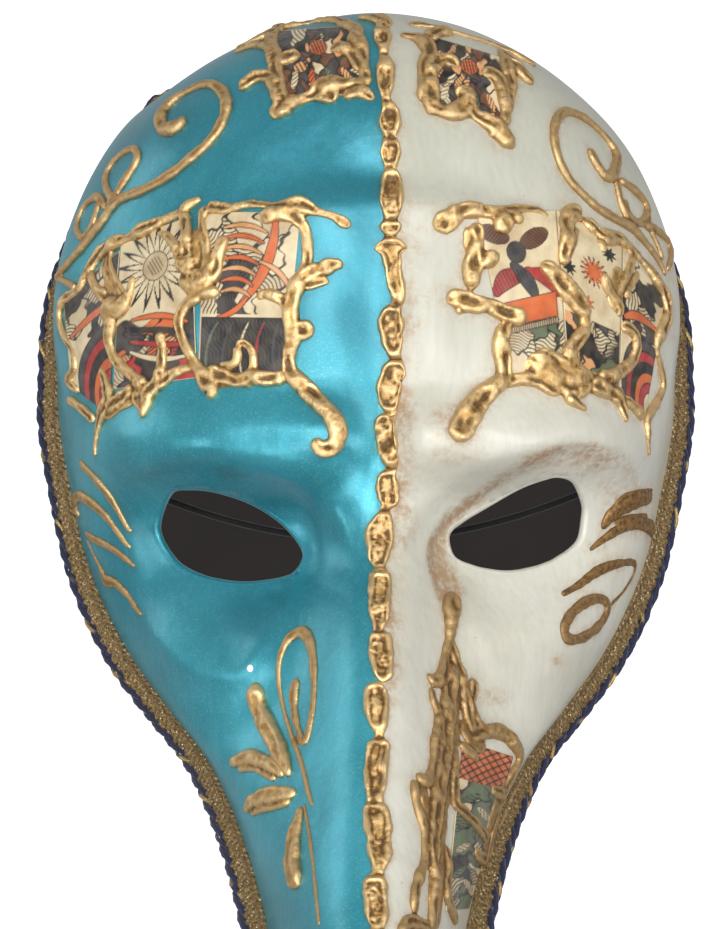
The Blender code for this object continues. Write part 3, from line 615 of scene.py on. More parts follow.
def printed_card():
    n = Nodes("printed_paper_varnished", Coat_Weight=0.35, Coat_Roughness=0.2)
    age = n.noise(7, 4)
    yellowed = n.ramp(age, 0.35, 0.8, 0.0, 0.55)
    color = n.mix(yellowed, n.attribute("art", "Color"), srgb(176, 138, 88), "MULTIPLY")
    return n.out(Base_Color=color, Roughness=n.ramp(n.noise(1.2), 0.3, 0.7, 0.38, 0.55),
                 Normal=n.relief(n.noise(2.5, 4), 0.12))


def braid_thread():
    """Metallised yarn: brown cotton under flat gilt filaments that glint here and there, the glints painted
    into the colour too, and painted shade between the loops and under the band.
    """
    n = Nodes("gold_braid_yarn")
    depth = n.attribute("depth")
    glint = n.ramp(n.cells(0.8), 0.1, 0.3, 1.0, 0.0)
    grain = n.noise(0.45, 3, 0.7)
    color = n.mix(n.ramp(grain, 0.35, 0.65), srgb(82, 63, 36), srgb(162, 136, 92))
    # Painted glints: near-white spots of colour, where the yarn is also glossier.
    color = n.mix(n.times(glint, 0.7), color, srgb(250, 234, 192))
    # Painted shade: darker where the loops are low and on the band's underside.
    color = n.mix(n.ramp(depth, 0.1, 0.75, 0.85, 0.0), color, srgb(38, 28, 16))
    return n.out(Base_Color=color, Metallic=n.ramp(grain, 0.4, 0.6, 0.35, 0.85),
                 Roughness=n.math("MULTIPLY_ADD", glint, -0.25, 0.5), Normal=n.relief(grain, 0.3))


def navy_yarn():
    n = Nodes("navy_cord_yarn", Sheen_Weight=0.3, Sheen_Roughness=0.4)
    fibre = n.noise(0.35, 3, 0.7)
    color = n.mix(n.ramp(fibre, 0.3, 0.7), srgb(8, 12, 34), srgb(26, 33, 72))
    gilt = n.mix(n.ramp(fibre, 0.3, 0.7), srgb(120, 94, 52), srgb(214, 184, 122))
    share = n.attribute("gilt")
    return n.out(Base_Color=n.mix(share, color, gilt), Metallic=n.times(share, 0.7),
                 Roughness=n.math("MULTIPLY_ADD", share, -0.3, 0.75), Normal=n.relief(fibre, 0.15))


def felt():
    n = Nodes("black_felt_pile", Roughness=0.96, Sheen_Weight=0.35, Sheen_Roughness=0.6)
    fibre = n.noise(0.5, 4, 0.75, distortion=1.5)
    color = n.mix(n.ramp(fibre, 0.3, 0.75), srgb(16, 16, 17), srgb(52, 50, 50))
    color = n.mix(n.ramp(n.noise(20, 3), 0.45, 0.8, 0.0, 0.4), color, srgb(70, 66, 62))
    return n.out(Base_Color=color, Normal=n.relief(fibre, 0.35))


def elastic_weave():
    n = Nodes("black_elastic_weave", Sheen_Weight=0.2, Sheen_Roughness=0.5)
    rib = n.attribute("rib")
    fibre = n.noise(0.3, 2)
    lit = n.times(rib, n.ramp(fibre, 0.2, 0.8, 0.5, 1.0))
    color = n.mix(lit, srgb(10, 10, 11), srgb(48, 47, 48))
    roughness = n.ramp(fibre, 0.3, 0.7, 0.6, 0.85)
    return n.out(Base_Color=color, Roughness=roughness, Normal=n.relief(fibre, 0.08))


# ---------------------------------------------------------------- elastic


def strap_ends():
    """Where the elastic meets each felt tab."""
    ends = []
    depth = WALL + TAB_CLEARANCE + TAB_THICK / 2 + ELASTIC_RADIUS + ELASTIC_CLEARANCE
    for u in (-TAB_U, TAB_U):
        centre = Vector(shell_points(TAB_SECTION, u))
        ends.append(centre - coarse.tree.find_nearest(centre)[1] * depth)
    return ends


def elastic_line(count):
    left, right = (np.array(end) for end in strap_ends())
    share = np.linspace(0, 1, count)[:, None]
    u = 2 * share - 1
    bow = np.hstack([0 * u, ELASTIC_BOW * (1 - u**4), -ELASTIC_SAG * (1 - u**2)])
    return left + (right - left) * share + bow


def make_elastic():
    line = elastic_line(ELASTIC_STEPS)
    k, j = np.meshgrid(np.arange(ELASTIC_STEPS), np.arange(ELASTIC_AROUND), indexing="ij")
    weave = np.sin(k * 0.9 + j * math.pi / 2) * np.sin(k * 0.9 - j * math.pi / 2)
    radius = ELASTIC_RADIUS * (0.97 + 0.03 * weave)
    points, faces = tube(line, radius, ELASTIC_AROUND)
    made = add_mesh("elastic_cord_woven", points, faces, elastic_weave())
    paint(made.data, "rib", np.append(0.5 + 0.5 * weave.reshape(-1), (0.5, 0.5)))
    stands_for(made, "elastic_cord")


make_elastic()


# ---------------------------------------------------------------- relief


def neighbour_mean(mesh, values):
    ends = np.empty(len(mesh.edges) * 2, int)
    mesh.edges.foreach_get("vertices", ends)
    a, b = ends.reshape(-1, 2).T
    total, count = np.zeros_like(values), np.zeros(len(values))
    np.add.at(total, a, values[b])
    np.add.at(total, b, values[a])
    np.add.at(count, a, 1)
    np.add.at(count, b, 1)
    return total / (count[:, None] if values.ndim > 1 else count)


def cavity_of(mesh):
    """Above 0 in hollows and below 0 on crests."""
    places, normals = places_of(mesh), normals_from(mesh)
    mean = places
    for _ in range(3):
        mean = neighbour_mean(mesh, mean)
    value = np.einsum("ij,ij->i", mean - places, normals) / VOXEL
    return np.clip(neighbour_mean(mesh, value) * 6, -1, 1)


def wobble(places, size, seed):
    return np.array([noise.noise(Vector(p) / size + Vector((seed, 7.3, 1.9))) for p in places])


def remesh(made, voxel=VOXEL):
    """Makes an object one fine closed skin round everything in it."""
    skin = made.modifiers.new("remesh", "REMESH")
    skin.mode = "VOXEL"
    skin.voxel_size = voxel * MM
    skin.use_smooth_shade = True
    relax = made.modifiers.new("relax", "SMOOTH")
    relax.iterations = 4
    relax.factor = 0.5
    return settle(made)


def cad_copy(node):
    shape = bmesh.new()
    shape.from_mesh(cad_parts[node].data)
    bmesh.ops.remove_doubles(shape, verts=shape.verts, dist=1e-6)
    mesh = bpy.data.meshes.new(node + "_fine")
    shape.to_mesh(mesh)
    shape.free()
    return add_object(node + "_fine", mesh)


# Beads of gesso on the eye plane: (across, up, half width) along each. A chain is a single bead.
RELIEF = {
    "crown_chain": [
        [(2.5, 133.4, 1.8), (4.2, 131.2, 1.6), (4.2, 128.2, 2.6), (4.6, 124.2, 1.2), (5, 119.5, 2.5),
         (5, 115, 2.2), (5.2, 111.9, 1.2), (6.2, 108.5, 2.9), (6.1, 105.5, 2.8), (6.1, 102.2, 1.7),
         (6.4, 99.5, 2.9), (6.4, 97, 2.7), (6.3, 94.3, 1.9), (6.4, 92.8, 2.4)],
    ],
    "brow_chain": [
        [(6.3, 94.3, 1.9), (6.6, 90, 3), (6.6, 84.5, 3.1), (6.3, 80.8, 1.9), (6.3, 79.3, 2.9),
         (6.3, 77.6, 2.6), (6.2, 76.2, 1.6), (6.4, 73.3, 5), (6.5, 71.3, 2.8), (7.4, 66, 2.5),
         (8.4, 60.5, 2.1), (7.9, 58.5, 1.5), (6.6, 55.5, 3.1), (6.6, 50, 3), (7.3, 46, 2), (8, 44.6, 1.3),
         (7.2, 41.5, 3.4), (6, 38, 3.5), (6, 34, 3.1), (6.4, 30.6, 1.8), (6, 29.5, 2.4)],
    ],
    "nose_chain": [
        [(4.8, 30.3, 1.9), (4.6, 27.5, 3), (5.5, 22, 3), (6.4, 18, 2.3), (6.8, 15.6, 1.3), (5.7, 13.8, 2.5),
         (5.5, 10.5, 3), (5.6, 7.5, 2.7), (4.9, 5.4, 1.2), (4.6, 3.5, 2.4), (3.6, 0, 3.7), (3.4, -4, 3.4),
         (3.3, -7.5, 2.9), (3.6, -10.2, 1.4), (3.6, -12.5, 2.8), (3.6, -18, 3), (3.5, -23, 2.5),
         (3.2, -26, 1.4), (3.7, -28.5, 3), (3.9, -33, 3), (4.3, -37.5, 2.3), (3.9, -39.7, 1.3)],
    ],
    "beak_chain": [
        [(3.2, -39.6, 1.4), (2.6, -42.2, 3.1), (2.7, -47, 2.9), (3.3, -51.5, 2), (3.4, -53.8, 1.2),
         (3.2, -56.5, 3), (2.7, -61, 3), (2.4, -66, 2.7), (2.3, -70.6, 1.8), (2.6, -73.8, 3.4),
         (3.2, -79, 3), (3.4, -84.5, 2.7), (3, -89.5, 1.6), (2.4, -91.8, 2.9), (2.4, -96, 3),
         (2.8, -101, 2.7), (2.9, -103.8, 1.5), (2.3, -106.5, 2.9), (1.9, -111, 2.9), (1.2, -115.5, 2.2),
         (1, -118.5, 1.6)],
    ],
    "left_brow_frame": [
        [(-27, 80, 1.6), (-24, 82, 1.6), (-19, 81.5, 1.4), (-16, 78.5, 1.2), (-15.3, 74, 1.1),
         (-15.5, 69, 1.1), (-17.5, 64.5, 1.6), (-19, 60, 1.6), (-19.5, 55, 1.7), (-19, 50, 1.6),
         (-20, 45, 1.4), (-19.5, 41, 1.6), (-16, 37, 1.9), (-12.5, 33, 1.8), (-9, 29.5, 1.8),
         (-7.5, 25, 1.9), (-9, 21.5, 1.8), (-12, 21.5, 1.4), (-13.2, 24, 1)],
        [(-41, 84, 1.6), (-36, 83.2, 1.2), (-30, 84.5, 0.9), (-24, 84.2, 0.8), (-18, 84.5, 1.5),
         (-15, 83.5, 1.4), (-12, 82.5, 0.8), (-8.5, 81.5, 0.9), (-5.5, 79.7, 1.2), (-3.8, 79.5, 1.1)],
        [(-18.5, 63, 1.6), (-15, 66.5, 1.6), (-11, 68, 1.7), (-8, 69, 1.3), (-6, 68.5, 1.2)],
        [(-16.5, 63.5, 1.4), (-12, 64.5, 1.1), (-9.5, 64.5, 0.6)],
        [(-20, 51, 1.5), (-16.5, 52, 2), (-13.5, 51.5, 2.4)],
        [(-41, 84, 1.6), (-42.5, 80, 1), (-41.5, 75, 0.9), (-41, 70, 1.2), (-41.5, 65, 2.6)],
        [(-36.5, 76.5, 1.3), (-38, 72, 1.4), (-39.5, 67, 1.8), (-43, 64.5, 2.6), (-47, 66, 1.8)],
        [(-46, 66, 1.8), (-46.5, 72, 1.3), (-46.5, 78, 1.2), (-47, 83, 1.3), (-44, 85.5, 0.9),
         (-42.8, 85.8, 0.7)],
        [(-47.5, 67, 1.4), (-49, 73, 1.1), (-52, 76.5, 0.9), (-54, 76.8, 0.7)],
        [(-47.5, 82.5, 1.2), (-52, 80.5, 1.2), (-57, 78, 1.8), (-61, 76, 1.1), (-65, 74.5, 1.6),
         (-69, 71.5, 1.6), (-72, 67, 1.3), (-74.5, 62.5, 1.1), (-78.5, 59.5, 1.2), (-79.5, 55, 1),
         (-78, 50, 0.9), (-76, 46, 0.8), (-75.5, 42, 1), (-77, 39, 1.1), (-74.5, 36, 0.8)],
        [(-38, 61.5, 1.2), (-42, 61.5, 1.3), (-46.5, 58.5, 1.3), (-48.5, 54, 1.2), (-47.5, 49.5, 1.1),
         (-45.5, 45.5, 1.2), (-43.5, 42, 1.3), (-41, 38.5, 2), (-40, 35.5, 1.4), (-41.5, 34.5, 0.7)],
        [(-28.5, 60.5, 1), (-25.5, 61.3, 1.2), (-22, 60, 1.3), (-19.8, 57, 1.4)],
        [(-41, 42, 1.2), (-37.5, 40, 1.6), (-33.5, 38.5, 1.3), (-29.5, 39.5, 1.5), (-25, 39.2, 1.5),
         (-20.5, 39.5, 1.4)],
        [(-33.5, 47.5, 0.8), (-32, 48.8, 0.9), (-29.6, 46.5, 0.9), (-29.3, 42, 0.9), (-31.5, 39, 1),
         (-34, 38, 1.2)],
        [(-48, 66.5, 1.6), (-44, 64, 2.4), (-39, 66.5, 1.8)],
        [(-33.6, 47.8, 0.8), (-33.2, 45, 0.9), (-34.5, 43, 0.9), (-38, 43.2, 0.6)],
        [(-53.5, 51.5, 1.3), (-52.8, 47, 1.2), (-53, 42, 1.3), (-54, 38, 1.5), (-56, 35.5, 1.6),
         (-57, 32, 1.3), (-58.5, 29, 0.8)],
        [(-44, 42.5, 1.1), (-48, 41.5, 1), (-51.5, 39.5, 1.3), (-54.5, 37, 1.6)],
        [(-60.5, 66, 1.1), (-61, 62, 1.1), (-63.5, 57.5, 1.8), (-66.5, 58, 2.2), (-66, 53.5, 1.8),
         (-66.5, 49, 1.3), (-65, 44.5, 1.2), (-61, 40.5, 1.2), (-57, 37, 1.6)],
        [(-67, 60, 1.6), (-70, 63, 1.1), (-71.5, 67, 0.9), (-70, 70.5, 0.8)],
        [(-64.5, 60.5, 1), (-66.5, 64, 0.9), (-67.8, 67.5, 0.8), (-67.5, 71, 0.7)],
        [(-62.5, 60.5, 0.9), (-64.5, 64.5, 0.8), (-66.5, 69, 0.8), (-66, 73, 0.9)],
        [(-69, 42, 0.9), (-67.5, 38.5, 1.3), (-66.5, 34, 1.8), (-68, 30.5, 1.6), (-69.5, 26.5, 1),
         (-70.3, 22, 0.6), (-70.3, 19, 0.5)],
        [(-77, 34, 1), (-73.5, 31.5, 1), (-70.5, 28.5, 1.2)],
        [(-60, 37, 1.4), (-64, 33.5, 1.5), (-67, 31, 1.6)],
        [(-56, 38, 1.4), (-59.5, 34.5, 1.2), (-57.5, 31, 1)],
    ],
    "right_brow_frame": [
        [(17.5, 78.8, 2.4), (21.4, 80.5, 2.2), (24.2, 82.7, 1.6), (28.2, 83, 1.7), (32.1, 82.4, 1.3),
         (36.7, 83, 1.2), (40.6, 83.3, 1), (44.6, 83, 0.9), (47.4, 81.3, 0.6)],
        [(33.3, 81.6, 1.6), (35.5, 79.3, 2.6), (36.7, 76.8, 1.4)],
        [(38.4, 79.9, 1.6), (40, 82, 1.2)],
        [(28.2, 79.9, 1.2), (29, 75.9, 1.3), (27.9, 72, 1.4), (27.6, 68.6, 1.9), (27.3, 65.2, 1.8),
         (27.6, 62.4, 1.6)],
        [(30.2, 71.4, 2.2), (31.6, 70.3, 2.8), (32.7, 68, 1.8)],
        [(20.8, 59.5, 1.6), (23.4, 60.1, 2.2), (28.2, 58.7, 1.9), (31.6, 58.4, 1.5), (35, 56.7, 1.6),
         (38.4, 55.6, 1.8), (41.2, 54.5, 2.8)],
        [(24, 58.5, 1.6), (25.4, 56.3, 1.4)],
        [(36.7, 53.9, 1.4), (35, 49.9, 1.7), (35, 46.6, 1.8), (35.5, 43.2, 1.8), (35.3, 39.2, 1.8),
         (32.1, 36.4, 2), (29.3, 33.6, 2.2), (26.5, 29.6, 2.4), (24.8, 26.2, 2.8), (24.5, 22.8, 2.8)],
        [(35.5, 38.1, 1.3), (40.6, 39.2, 1.4), (44.9, 38.6, 1.6), (48, 36.4, 1.4), (50.2, 35.8, 1.2)],
        [(42.3, 45.4, 1.6), (45.1, 43.2, 2.6), (48, 40.3, 2.8), (50.8, 38.1, 2.4), (54.7, 37.5, 2.6),
         (57.6, 38.6, 2)],
        [(44, 46.5, 1.4), (47.5, 43.5, 2.6), (51, 41, 2.8), (55, 40, 2.4), (58.5, 38.5, 1.8)],
        [(51.4, 35.8, 1.6), (53.6, 33.6, 1.5), (55.9, 31.9, 1.1), (57.3, 31.3, 0.6)],
        [(45.1, 69.2, 1.2), (47.4, 67.5, 1.8), (50.2, 64.6, 2.2), (53.1, 61.2, 2.4), (55.3, 58.4, 2.2),
         (56.4, 55, 1.3), (56.2, 51.6, 1.5), (54.2, 48.8, 1.7), (52.5, 46, 1.8), (53.6, 43.2, 1.6),
         (53.6, 40.3, 2)],
        [(55.9, 81.6, 1.8), (53.1, 82.1, 2.2), (51.6, 79.3, 1.6), (51.9, 75.4, 1.6), (51.1, 71.4, 1.4),
         (51.4, 68.6, 1.4)],
        [(54.5, 78.2, 0.9), (53.3, 73.7, 0.9), (52, 70, 0.9)],
        [(55.9, 80.5, 1.6), (58.7, 78.2, 1.6), (61.5, 75.9, 1.9), (64.9, 75.6, 1.6), (67.7, 73.7, 1.2),
         (70.6, 70.8, 1.2), (73.4, 67.5, 1.3), (75.6, 64.1, 1.3), (77.3, 61.2, 1.6), (77.9, 56.7, 1.4),
         (77.1, 53.3, 1.7), (75.6, 49.9, 1.6), (75.4, 46.6, 0.9), (76.2, 43.2, 0.9), (77.1, 38.6, 1),
         (76.2, 34.7, 1), (74, 31.3, 1.2), (72.8, 28.5, 1.3), (73.1, 25.1, 1), (73.3, 21.7, 0.6),
         (73.4, 19.4, 0.5)],
        [(59.8, 75.4, 0.9), (62.1, 72, 1.2)],
        [(61.5, 66.9, 1.1), (62.1, 63.5, 1.2), (63.8, 60.7, 1.1), (65.5, 57.9, 1), (65.8, 55, 0.9)],
        [(67.7, 73.7, 1.1), (68.9, 70.8, 1), (67.7, 66.9, 1.1), (66, 63.5, 1), (64.9, 60.1, 1)],
        [(70.6, 66.9, 0.8), (68.3, 63.5, 0.9), (67.2, 60.1, 0.9)],
        [(66, 53.3, 1.5), (68.9, 51.6, 1.3), (70, 48.2, 1.4), (68.9, 44.3, 1.4), (66, 41.5, 1.5),
         (62.7, 39.8, 1.6), (59.8, 39.2, 1.8)],
        [(57.6, 38.1, 2), (61.5, 36.4, 1.8), (64.4, 34.7, 1.6), (66, 32.4, 1.4), (67.7, 27.9, 0.9)],
        [(66.6, 34.1, 1.3), (69.4, 31.9, 1.2), (71.7, 29, 1.2)],
    ],
    "left_crown_frame": [
        [(-35, 126.6, 0.8), (-30, 128.2, 0.9), (-26, 129.6, 1.2), (-22.5, 130, 1.3), (-18, 131, 0.8),
         (-13, 132, 0.8), (-8, 132.2, 1), (-5, 131, 1.3), (-2.5, 129.5, 1.4), (-2.6, 127, 1.7),
         (-1.4, 124.5, 1.6), (-0.8, 121.5, 1.3), (-0.3, 118.5, 1.1), (0.3, 115.5, 1)],
        [(-34, 124.2, 0.8), (-31, 125.2, 0.9), (-28, 126, 1.2), (-25, 125.5, 1.5), (-23.5, 122.5, 1.5),
         (-23.3, 119.5, 1.4), (-23, 116, 1.6), (-22.5, 113, 1.7), (-21.5, 110.5, 1.8),
         (-22.5, 108, 2.8), (-22.6, 106.8, 2.8)],
        [(-23.5, 120.5, 1.2), (-22, 121.6, 1.7), (-20, 122.4, 1.9), (-18, 123, 1.6), (-16.8, 123.3, 1)],
        [(-33.2, 114.8, 0.9), (-31.5, 115.5, 1.3), (-29.5, 117, 1.4), (-27, 117.8, 1.3),
         (-24.5, 117, 1.6), (-22.8, 114.5, 1.5)],
        [(-21.5, 110.5, 1.3), (-18.5, 111.2, 1.4), (-15.5, 112.2, 1.2), (-13, 113.2, 1.4),
         (-11.5, 114.8, 1.9), (-9, 115.4, 2), (-6, 115.7, 1.3), (-2, 116, 1.1), (0, 115.2, 1)],
        [(-10.5, 114, 2.4), (-9.5, 112, 2.6), (-9.4, 110.8, 2.4)],
        [(-6, 112.4, 1.2), (-3.5, 113.3, 1.1), (-1, 113.5, 1.3), (1, 112.5, 1), (2.2, 111.8, 0.7)],
        [(-9.5, 124.5, 0.8), (-7, 125, 1.3), (-4.5, 124.2, 1.4), (-2.6, 122, 1.3), (-1.4, 119, 1.2)],
        [(-24, 129, 1.3), (-24.5, 127, 1.2), (-24, 124, 1.3)],
        [(-2, 133, 1), (1, 132.8, 1.2), (4, 132, 1.5), (6.3, 130.8, 0.9)],
    ],
    "right_crown_frame": [
        [(8.8, 128.8, 0.7), (11, 128.2, 0.9), (13.5, 127.5, 1.2), (15.5, 126, 1.5), (16.4, 123.5, 1.6),
         (15.5, 121, 1.6), (14.9, 118, 1.3), (14.9, 115, 1.2), (14.5, 112.5, 1), (14, 111.5, 0.7)],
        [(16, 127.2, 1.4), (18, 128.9, 1.4), (20.5, 129, 1.4), (22.5, 128.3, 0.9)],
        [(11, 131.4, 0.6), (14, 131.2, 0.9), (18, 130.4, 0.8), (22, 129.5, 0.6), (27, 128, 0.6),
         (32, 126.5, 0.6), (37, 124.4, 0.8), (40, 122.8, 0.9), (44, 120.6, 0.9)],
        [(16.4, 116.5, 1.5), (16.6, 119, 1.5), (18, 121.2, 1.6), (20.3, 121.8, 1.5), (22.5, 121.2, 1.4),
         (23.8, 119.9, 0.9)],
        [(16, 118, 1.6), (16.8, 115, 1.6), (16.9, 112, 1.6), (17, 110.3, 1.7), (19.5, 108.8, 1.4),
         (22, 108.4, 1.5), (24.3, 109, 1.9), (26, 110.4, 1.8), (26.2, 112.2, 1.6), (24.6, 113.3, 1.9),
         (23.6, 112.6, 1.4)],
        [(15.3, 109.6, 0.9), (18, 108.6, 1.2)],
        [(26, 110, 1.4), (28.5, 107.8, 1.3), (31, 106.2, 1.5), (34, 104, 1.9), (36, 101.5, 1.6),
         (37.5, 99.6, 1.4), (37.7, 98.9, 1)],
        [(30, 118.3, 1.2), (32, 118.5, 1.4), (34, 117, 1.6), (35, 114.5, 1.4), (35.8, 111, 1.3),
         (36, 107.5, 1.2), (35.5, 105, 1.2)],
        [(35, 124.6, 0.9), (36, 122, 1.2), (36.5, 119, 1.4), (37.5, 116.5, 1.2), (37.3, 112.5, 1),
         (36.8, 108.5, 0.9)],
        [(36.5, 120.5, 1.3), (39, 119.3, 1.7), (41.5, 117.3, 1.3), (43.5, 115.8, 1)],
        [(35, 124, 0.9), (38, 122.2, 0.7), (41, 120.3, 0.6)],
        [(31.8, 103.2, 1), (33.5, 102.6, 0.8)],
    ],
    "right_cheek_frame": [
        [(22.5, -16.8, 1.4), (22, -20, 2.3), (21.8, -24, 1.6), (21.5, -28, 1.1), (20.5, -31.5, 1.1),
         (20, -35, 1.3), (19, -38.5, 1.6), (17.3, -39.5, 1.3), (15.9, -37.4, 0.7)],
        [(16.8, -41, 0.9), (17.3, -44.5, 1), (18.3, -47.5, 1.1), (18.5, -51, 1.4), (17.7, -56, 1.5),
         (17.5, -61, 1.4), (16, -65, 1.3), (14.5, -65.5, 1.3), (13, -63.4, 1.2)],
        [(21.5, -28, 1), (22.5, -32, 1.3), (23.5, -36, 1.5), (24.5, -40, 1.5), (25.3, -44, 1.6),
         (26, -48, 1.6), (26.8, -51.5, 1.6), (27.8, -53, 1.3)],
        [(27.5, -38.4, 1), (27.5, -41, 1.4), (27.3, -44.5, 1.1), (28, -47.5, 1), (29, -50.5, 1.2),
         (31, -52, 1.2)],
        [(26.5, -53.5, 1.7), (30, -52.8, 1.6), (34, -52.5, 1.6), (37.2, -54.5, 1.7), (39.3, -57.5, 1.5),
         (39.4, -60, 1.1), (37, -64.5, 1.2), (35.2, -69, 1.1), (33.3, -75, 1.1), (32, -80, 1.2),
         (30.6, -85, 1.4), (30.6, -90, 1.1), (29.2, -93, 1), (27.5, -99, 1), (26.5, -104, 0.9)],
        [(22.5, -35, 1.3), (21.5, -39, 1.9), (21, -44, 2.2), (20.5, -49, 2.2), (20, -54, 2.2),
         (19.4, -60, 2.2), (18.5, -66, 2), (17.8, -72, 1.8), (17.2, -78, 1.7), (16.9, -84, 1.8),
         (17.5, -91, 1.7), (17, -98, 1.5), (16.5, -104, 1.3)],
        [(12.2, -65, 1), (12.5, -69, 1.1), (13.3, -73, 1.1), (14.7, -77.5, 1), (15, -82, 0.9),
         (14.8, -87, 1), (13.3, -91, 1.2), (12.3, -96, 1.2), (12.5, -100, 1)],
        [(24, -55.5, 1.2), (26.5, -58, 1.2), (29, -60, 0.9)],
        [(22.3, -56, 1.4), (22.3, -62, 1.5), (22.4, -67, 1.5), (22.9, -71, 1.4), (25, -73.3, 1.2),
         (28, -76.2, 1.2), (30.5, -79.6, 1.2), (31.2, -81, 0.8)],
        [(36, -68.8, 1.1), (34, -68.2, 1.3), (32.3, -67.4, 1)],
        [(30.5, -85.6, 1.2), (28.7, -84.6, 1.3), (28, -82.6, 0.9)],
        [(20.3, -82, 1.3), (20.8, -88, 1.3), (20.5, -94, 1.3), (21.8, -98.8, 1.2), (23.3, -102, 0.9)],
        [(8.5, -105.3, 0.9), (10.5, -102, 1.2), (12.8, -102.2, 1.3), (16, -103.5, 1.3)],
    ],
    "left_crown_scroll": [
        [(-82, 63.5, 0.9), (-77.5, 69, 1.2), (-73, 74.2, 1.3), (-68.5, 80, 1.4), (-64.5, 85.3, 1.4),
         (-58, 88.2, 1.4), (-51.5, 91.8, 1.4), (-45.5, 96.5, 1.4), (-40, 101.5, 1.5), (-36.8, 107, 1.6),
         (-36.2, 111.5, 1.6), (-38.5, 115, 1.5), (-42, 115.7, 1.4), (-46.5, 113.8, 1.3),
         (-50.5, 111, 1.6), (-53, 107.5, 1.8), (-52.8, 104.3, 1.9), (-50.4, 104, 2.0), (-48.2, 105.5, 1.9),
         (-47.6, 107.3, 1.3)],
        [(-67, 84, 1.1), (-62.5, 90.8, 1.3), (-59.3, 96.2, 1.3), (-60.2, 98.9, 1.2), (-63.5, 97.6, 1.1),
         (-66.8, 93.8, 1.1), (-67.6, 90, 1.1), (-66.3, 86.8, 1.2), (-64, 85.3, 1.1)],
        [(-67.3, 83.5, 1.1), (-69.6, 86.4, 1.2), (-72.7, 84.6, 1.0), (-74.6, 81, 1.0), (-75, 77.8, 1.1),
         (-73.3, 76, 1.1), (-71, 79, 1.1), (-70, 82.5, 1.1), (-69, 85.5, 1.1)],
    ],
    "right_crown_scroll": [
        [(57.9, 99.2, 1.3), (58.8, 96.5, 1.6), (60.4, 93.8, 1.5), (62, 91.9, 1.5), (64, 92.6, 1.7),
         (64.9, 96.5, 1.5), (63, 100.7, 1.3), (59, 105, 1.2), (54.5, 108, 1.3), (51, 108.4, 1.3),
         (49, 105.5, 1.4), (48.8, 101, 1.3), (50, 96, 1.3), (52.5, 91.3, 1.2), (56, 87.3, 1.2),
         (60, 83.7, 1.3), (65, 80.6, 1.3), (69, 78.3, 1.3), (72.5, 74.5, 1.2), (75.8, 70, 1),
         (77.8, 66, 0.8)],
        [(64.3, 93, 1.3), (65.4, 88, 1.2), (66.3, 84, 1.1), (68, 80.2, 1.2)],
        [(65.8, 91, 1.2), (69.5, 88.2, 1.3), (72.4, 84.6, 1.3), (72.6, 81, 1.4), (70.4, 79.8, 1.2),
         (67.8, 82, 1.3), (66.8, 86, 1.2)],
        [(72, 79.5, 1.5), (75.3, 77.8, 1.3), (78.3, 75, 1.1), (79, 71, 1.1), (78.2, 67.5, 0.9)],
        [(73.5, 78.5, 1.3), (75.6, 74, 1.0), (77, 70, 0.9)],
    ],
    "left_temple_stroke_upper": [
        [(-74.3, 17.5, 1.1), (-70.5, 13.5, 1.5), (-66.5, 8.5, 1.3), (-64, 4, 0.9), (-62, 0.5, 0.8),
         (-60.8, -0.6, 0.6)],
    ],
    "left_temple_stroke_broad": [
        [(-74.6, 3.4, 1), (-75.6, 6.5, 1.4), (-74.6, 8.8, 1.6), (-71.5, 7.2, 1.6), (-68, 4, 1.3),
         (-65, 0, 1), (-62.5, -3.5, 0.8), (-61, -4.8, 0.6)],
    ],
    "left_temple_stroke_thin": [
        [(-73, -0.8, 0.8), (-70.5, -2.5, 1.1), (-66.5, -4.5, 1.1), (-62.5, -7.5, 0.9), (-60, -9.7, 0.6)],
    ],
    "left_temple_stroke_lower": [
        [(-72.6, -2.5, 0.6), (-71, -6, 0.6), (-69, -10, 0.9), (-67.6, -13, 1.7), (-65, -13.9, 1.3),
         (-62, -17, 1), (-60, -20, 0.9), (-58.4, -22.2, 0.6)],
    ],
    "right_temple_leaf_upper": [
        [(61.3, 0.2, 0.9), (63.2, 3.4, 1.9), (66.5, 6, 2.3), (70.5, 7.8, 2.3), (74, 8.6, 1.8)],
        [(62, 2, 0.8), (66, 8, 0.8), (70, 9.8, 0.7), (74.5, 10.4, 0.6)],
    ],
    "right_temple_leaf_lower": [
        [(58, -5.3, 0.7), (62, -2.2, 1.1), (66, 0.4, 1.5), (70, 1.8, 1.9), (73.6, 0.8, 2), (74.4, -1.5, 1)],
        [(64.5, 1.8, 0.8), (68.5, 3.4, 0.8), (73, 3.6, 0.8)],
    ],
    "right_temple_stroke": [
        [(50.8, -16.9, 0.7), (55, -14.5, 1), (60, -10.8, 1.4), (65, -8.9, 1.3), (69.5, -8.6, 0.9),
         (69.4, -11.5, 0.6), (66.8, -16, 0.6), (63.5, -19.5, 0.6)],
    ],
    "left_nose_spiral": [
        [(-14, -71.8, 0.6), (-15, -68, 0.8), (-17, -60, 0.8), (-19.5, -53, 0.8), (-21.8, -45, 0.8),
         (-22.8, -38, 0.8), (-22.2, -32.5, 1), (-20, -28.3, 1.3), (-16.8, -26.6, 1.7), (-14.8, -28.5, 1.6),
         (-13.8, -33, 1.3), (-13.5, -40, 1.1), (-13.8, -46, 1.1), (-14.6, -51, 1.1), (-15.5, -54.5, 1.2),
         (-16.6, -54.6, 1.1), (-17.8, -51, 1.1), (-18.6, -47, 1.3), (-18.6, -42, 1.6), (-18, -38.4, 1.2)],
    ],
    "left_nose_leaf_top": [
        [(-28.6, -39.6, 1.6), (-28.3, -43.5, 2.4), (-27, -48, 2.3), (-24.5, -53, 2.3), (-22, -58, 2.2),
         (-20.4, -62, 1.5), (-19.8, -64, 0.9)],
    ],
    "left_nose_leaf_middle": [
